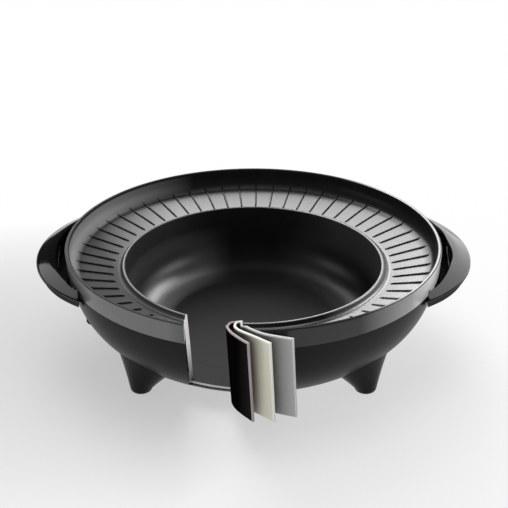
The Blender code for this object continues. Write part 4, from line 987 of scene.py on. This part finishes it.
def camera():
    data = bpy.data.cameras.new("camera")
    data.lens = CAMERA_FOCUS_PIXELS / PHOTO_PIXELS * SENSOR
    data.sensor_width = SENSOR
    obj = bpy.data.objects.new("camera", data)
    obj.location = (CAMERA_ASIDE, -CAMERA_DISTANCE * math.cos(CAMERA_TILT),
                    CAMERA_AIM_Z + CAMERA_DISTANCE * math.sin(CAMERA_TILT))
    obj.rotation_euler = (math.pi / 2 - CAMERA_TILT, 0, 0)
    bpy.context.scene.collection.objects.link(obj)
    bpy.context.scene.camera = obj


def softbox(name, azimuth, elevation, width, height, radiance):
    """A soft lamp at a bearing (right of straight behind) and height, sized in degrees."""
    data = bpy.data.lights.new(name, "AREA")
    data.shape = "RECTANGLE"
    data.size = 2 * LAMP_DISTANCE * math.tan(math.radians(width / 2))
    data.size_y = 2 * LAMP_DISTANCE * math.tan(math.radians(height / 2))
    data.energy = radiance * math.pi * data.size * data.size_y
    obj = bpy.data.objects.new(name, data)
    out, up = polar(LAMP_DISTANCE, elevation)
    ahead, right = polar(out, azimuth)
    place = Vector((right, ahead, up))
    obj.location = place + LAMP_AIM
    obj.rotation_euler = place.to_track_quat("Z", "Y").to_euler()
    bpy.context.scene.collection.objects.link(obj)
    return obj


def reaches(lamp, pieces, state):
    """Let a lamp reach only the given pieces, or all but them."""
    group = bpy.data.collections.new(lamp.name + "_pieces")
    for piece in pieces:
        group.objects.link(piece)
    for entry in group.collection_objects:
        entry.light_linking.link_state = state
    lamp.light_linking.receiver_collection = group


def floor():
    bm = bmesh.new()
    bmesh.ops.create_grid(bm, x_segments=2, y_segments=2, size=FLOOR_HALF)
    obj = mesh_object("floor", bm, "floor")
    return obj


def world():
    """Plain white to the camera, grey as a light, and nearly black in what mirrors it."""
    world = bpy.data.worlds.new("studio")
    bpy.context.scene.world = world
    nodes = Nodes(world)
    dim = 0.40 - nodes.rays("Glossy") * 0.36
    sky = nodes.node("Background", {}, {"Color": WHITE, "Strength": dim})
    white = nodes.node("Background", {}, {"Color": WHITE, "Strength": 1.0})
    nodes.surface("World Output", nodes.blend(nodes.rays("Camera"), sky, white))


def lights(casting, handles, sheets, ground):
    right_handle, left_handle = handles
    reaches(softbox("back_left", -15, 32, 34, 48, 4.7), handles, "EXCLUDE")
    reaches(softbox("back_top", -4, 66, 40, 16, 2.0), handles, "EXCLUDE")
    reaches(softbox("back_right", 40, 40, 30, 14, 7.0), [casting], "INCLUDE")
    reaches(softbox("right_horizon", 20, 10, 22, 20, 2.2), handles, "EXCLUDE")
    reaches(softbox("handle_sheen", 40, 24, 50, 56, 1.9), [right_handle], "INCLUDE")
    reaches(softbox("handle_patch", -49, 34, 26, 32, 1.4), [left_handle], "INCLUDE")
    softbox("overhead", -10, 84, 40, 30, 2.2)
    reaches(softbox("left_fill", -100, 16, 36, 24, 1.6), [ground] + handles, "EXCLUDE")
    reaches(softbox("right_fill", 96, 14, 36, 20, 2.2), [ground] + handles, "EXCLUDE")
    reaches(softbox("front_fill", -158, 26, 34, 24, 4.2), sheets, "INCLUDE")


camera()
casting = pan()
ribs()
shell()
sheets = [layer(number) for number in range(len(LAYERS))]
handles = [handle("right", 0), handle("left", 180)]
for place_name, degrees in FEET:
    foot(place_name, degrees)
dress_nodes()
ground = floor()
world()
lights(casting, handles, sheets, ground)
bpy.context.scene.view_settings.view_transform = "Standard"
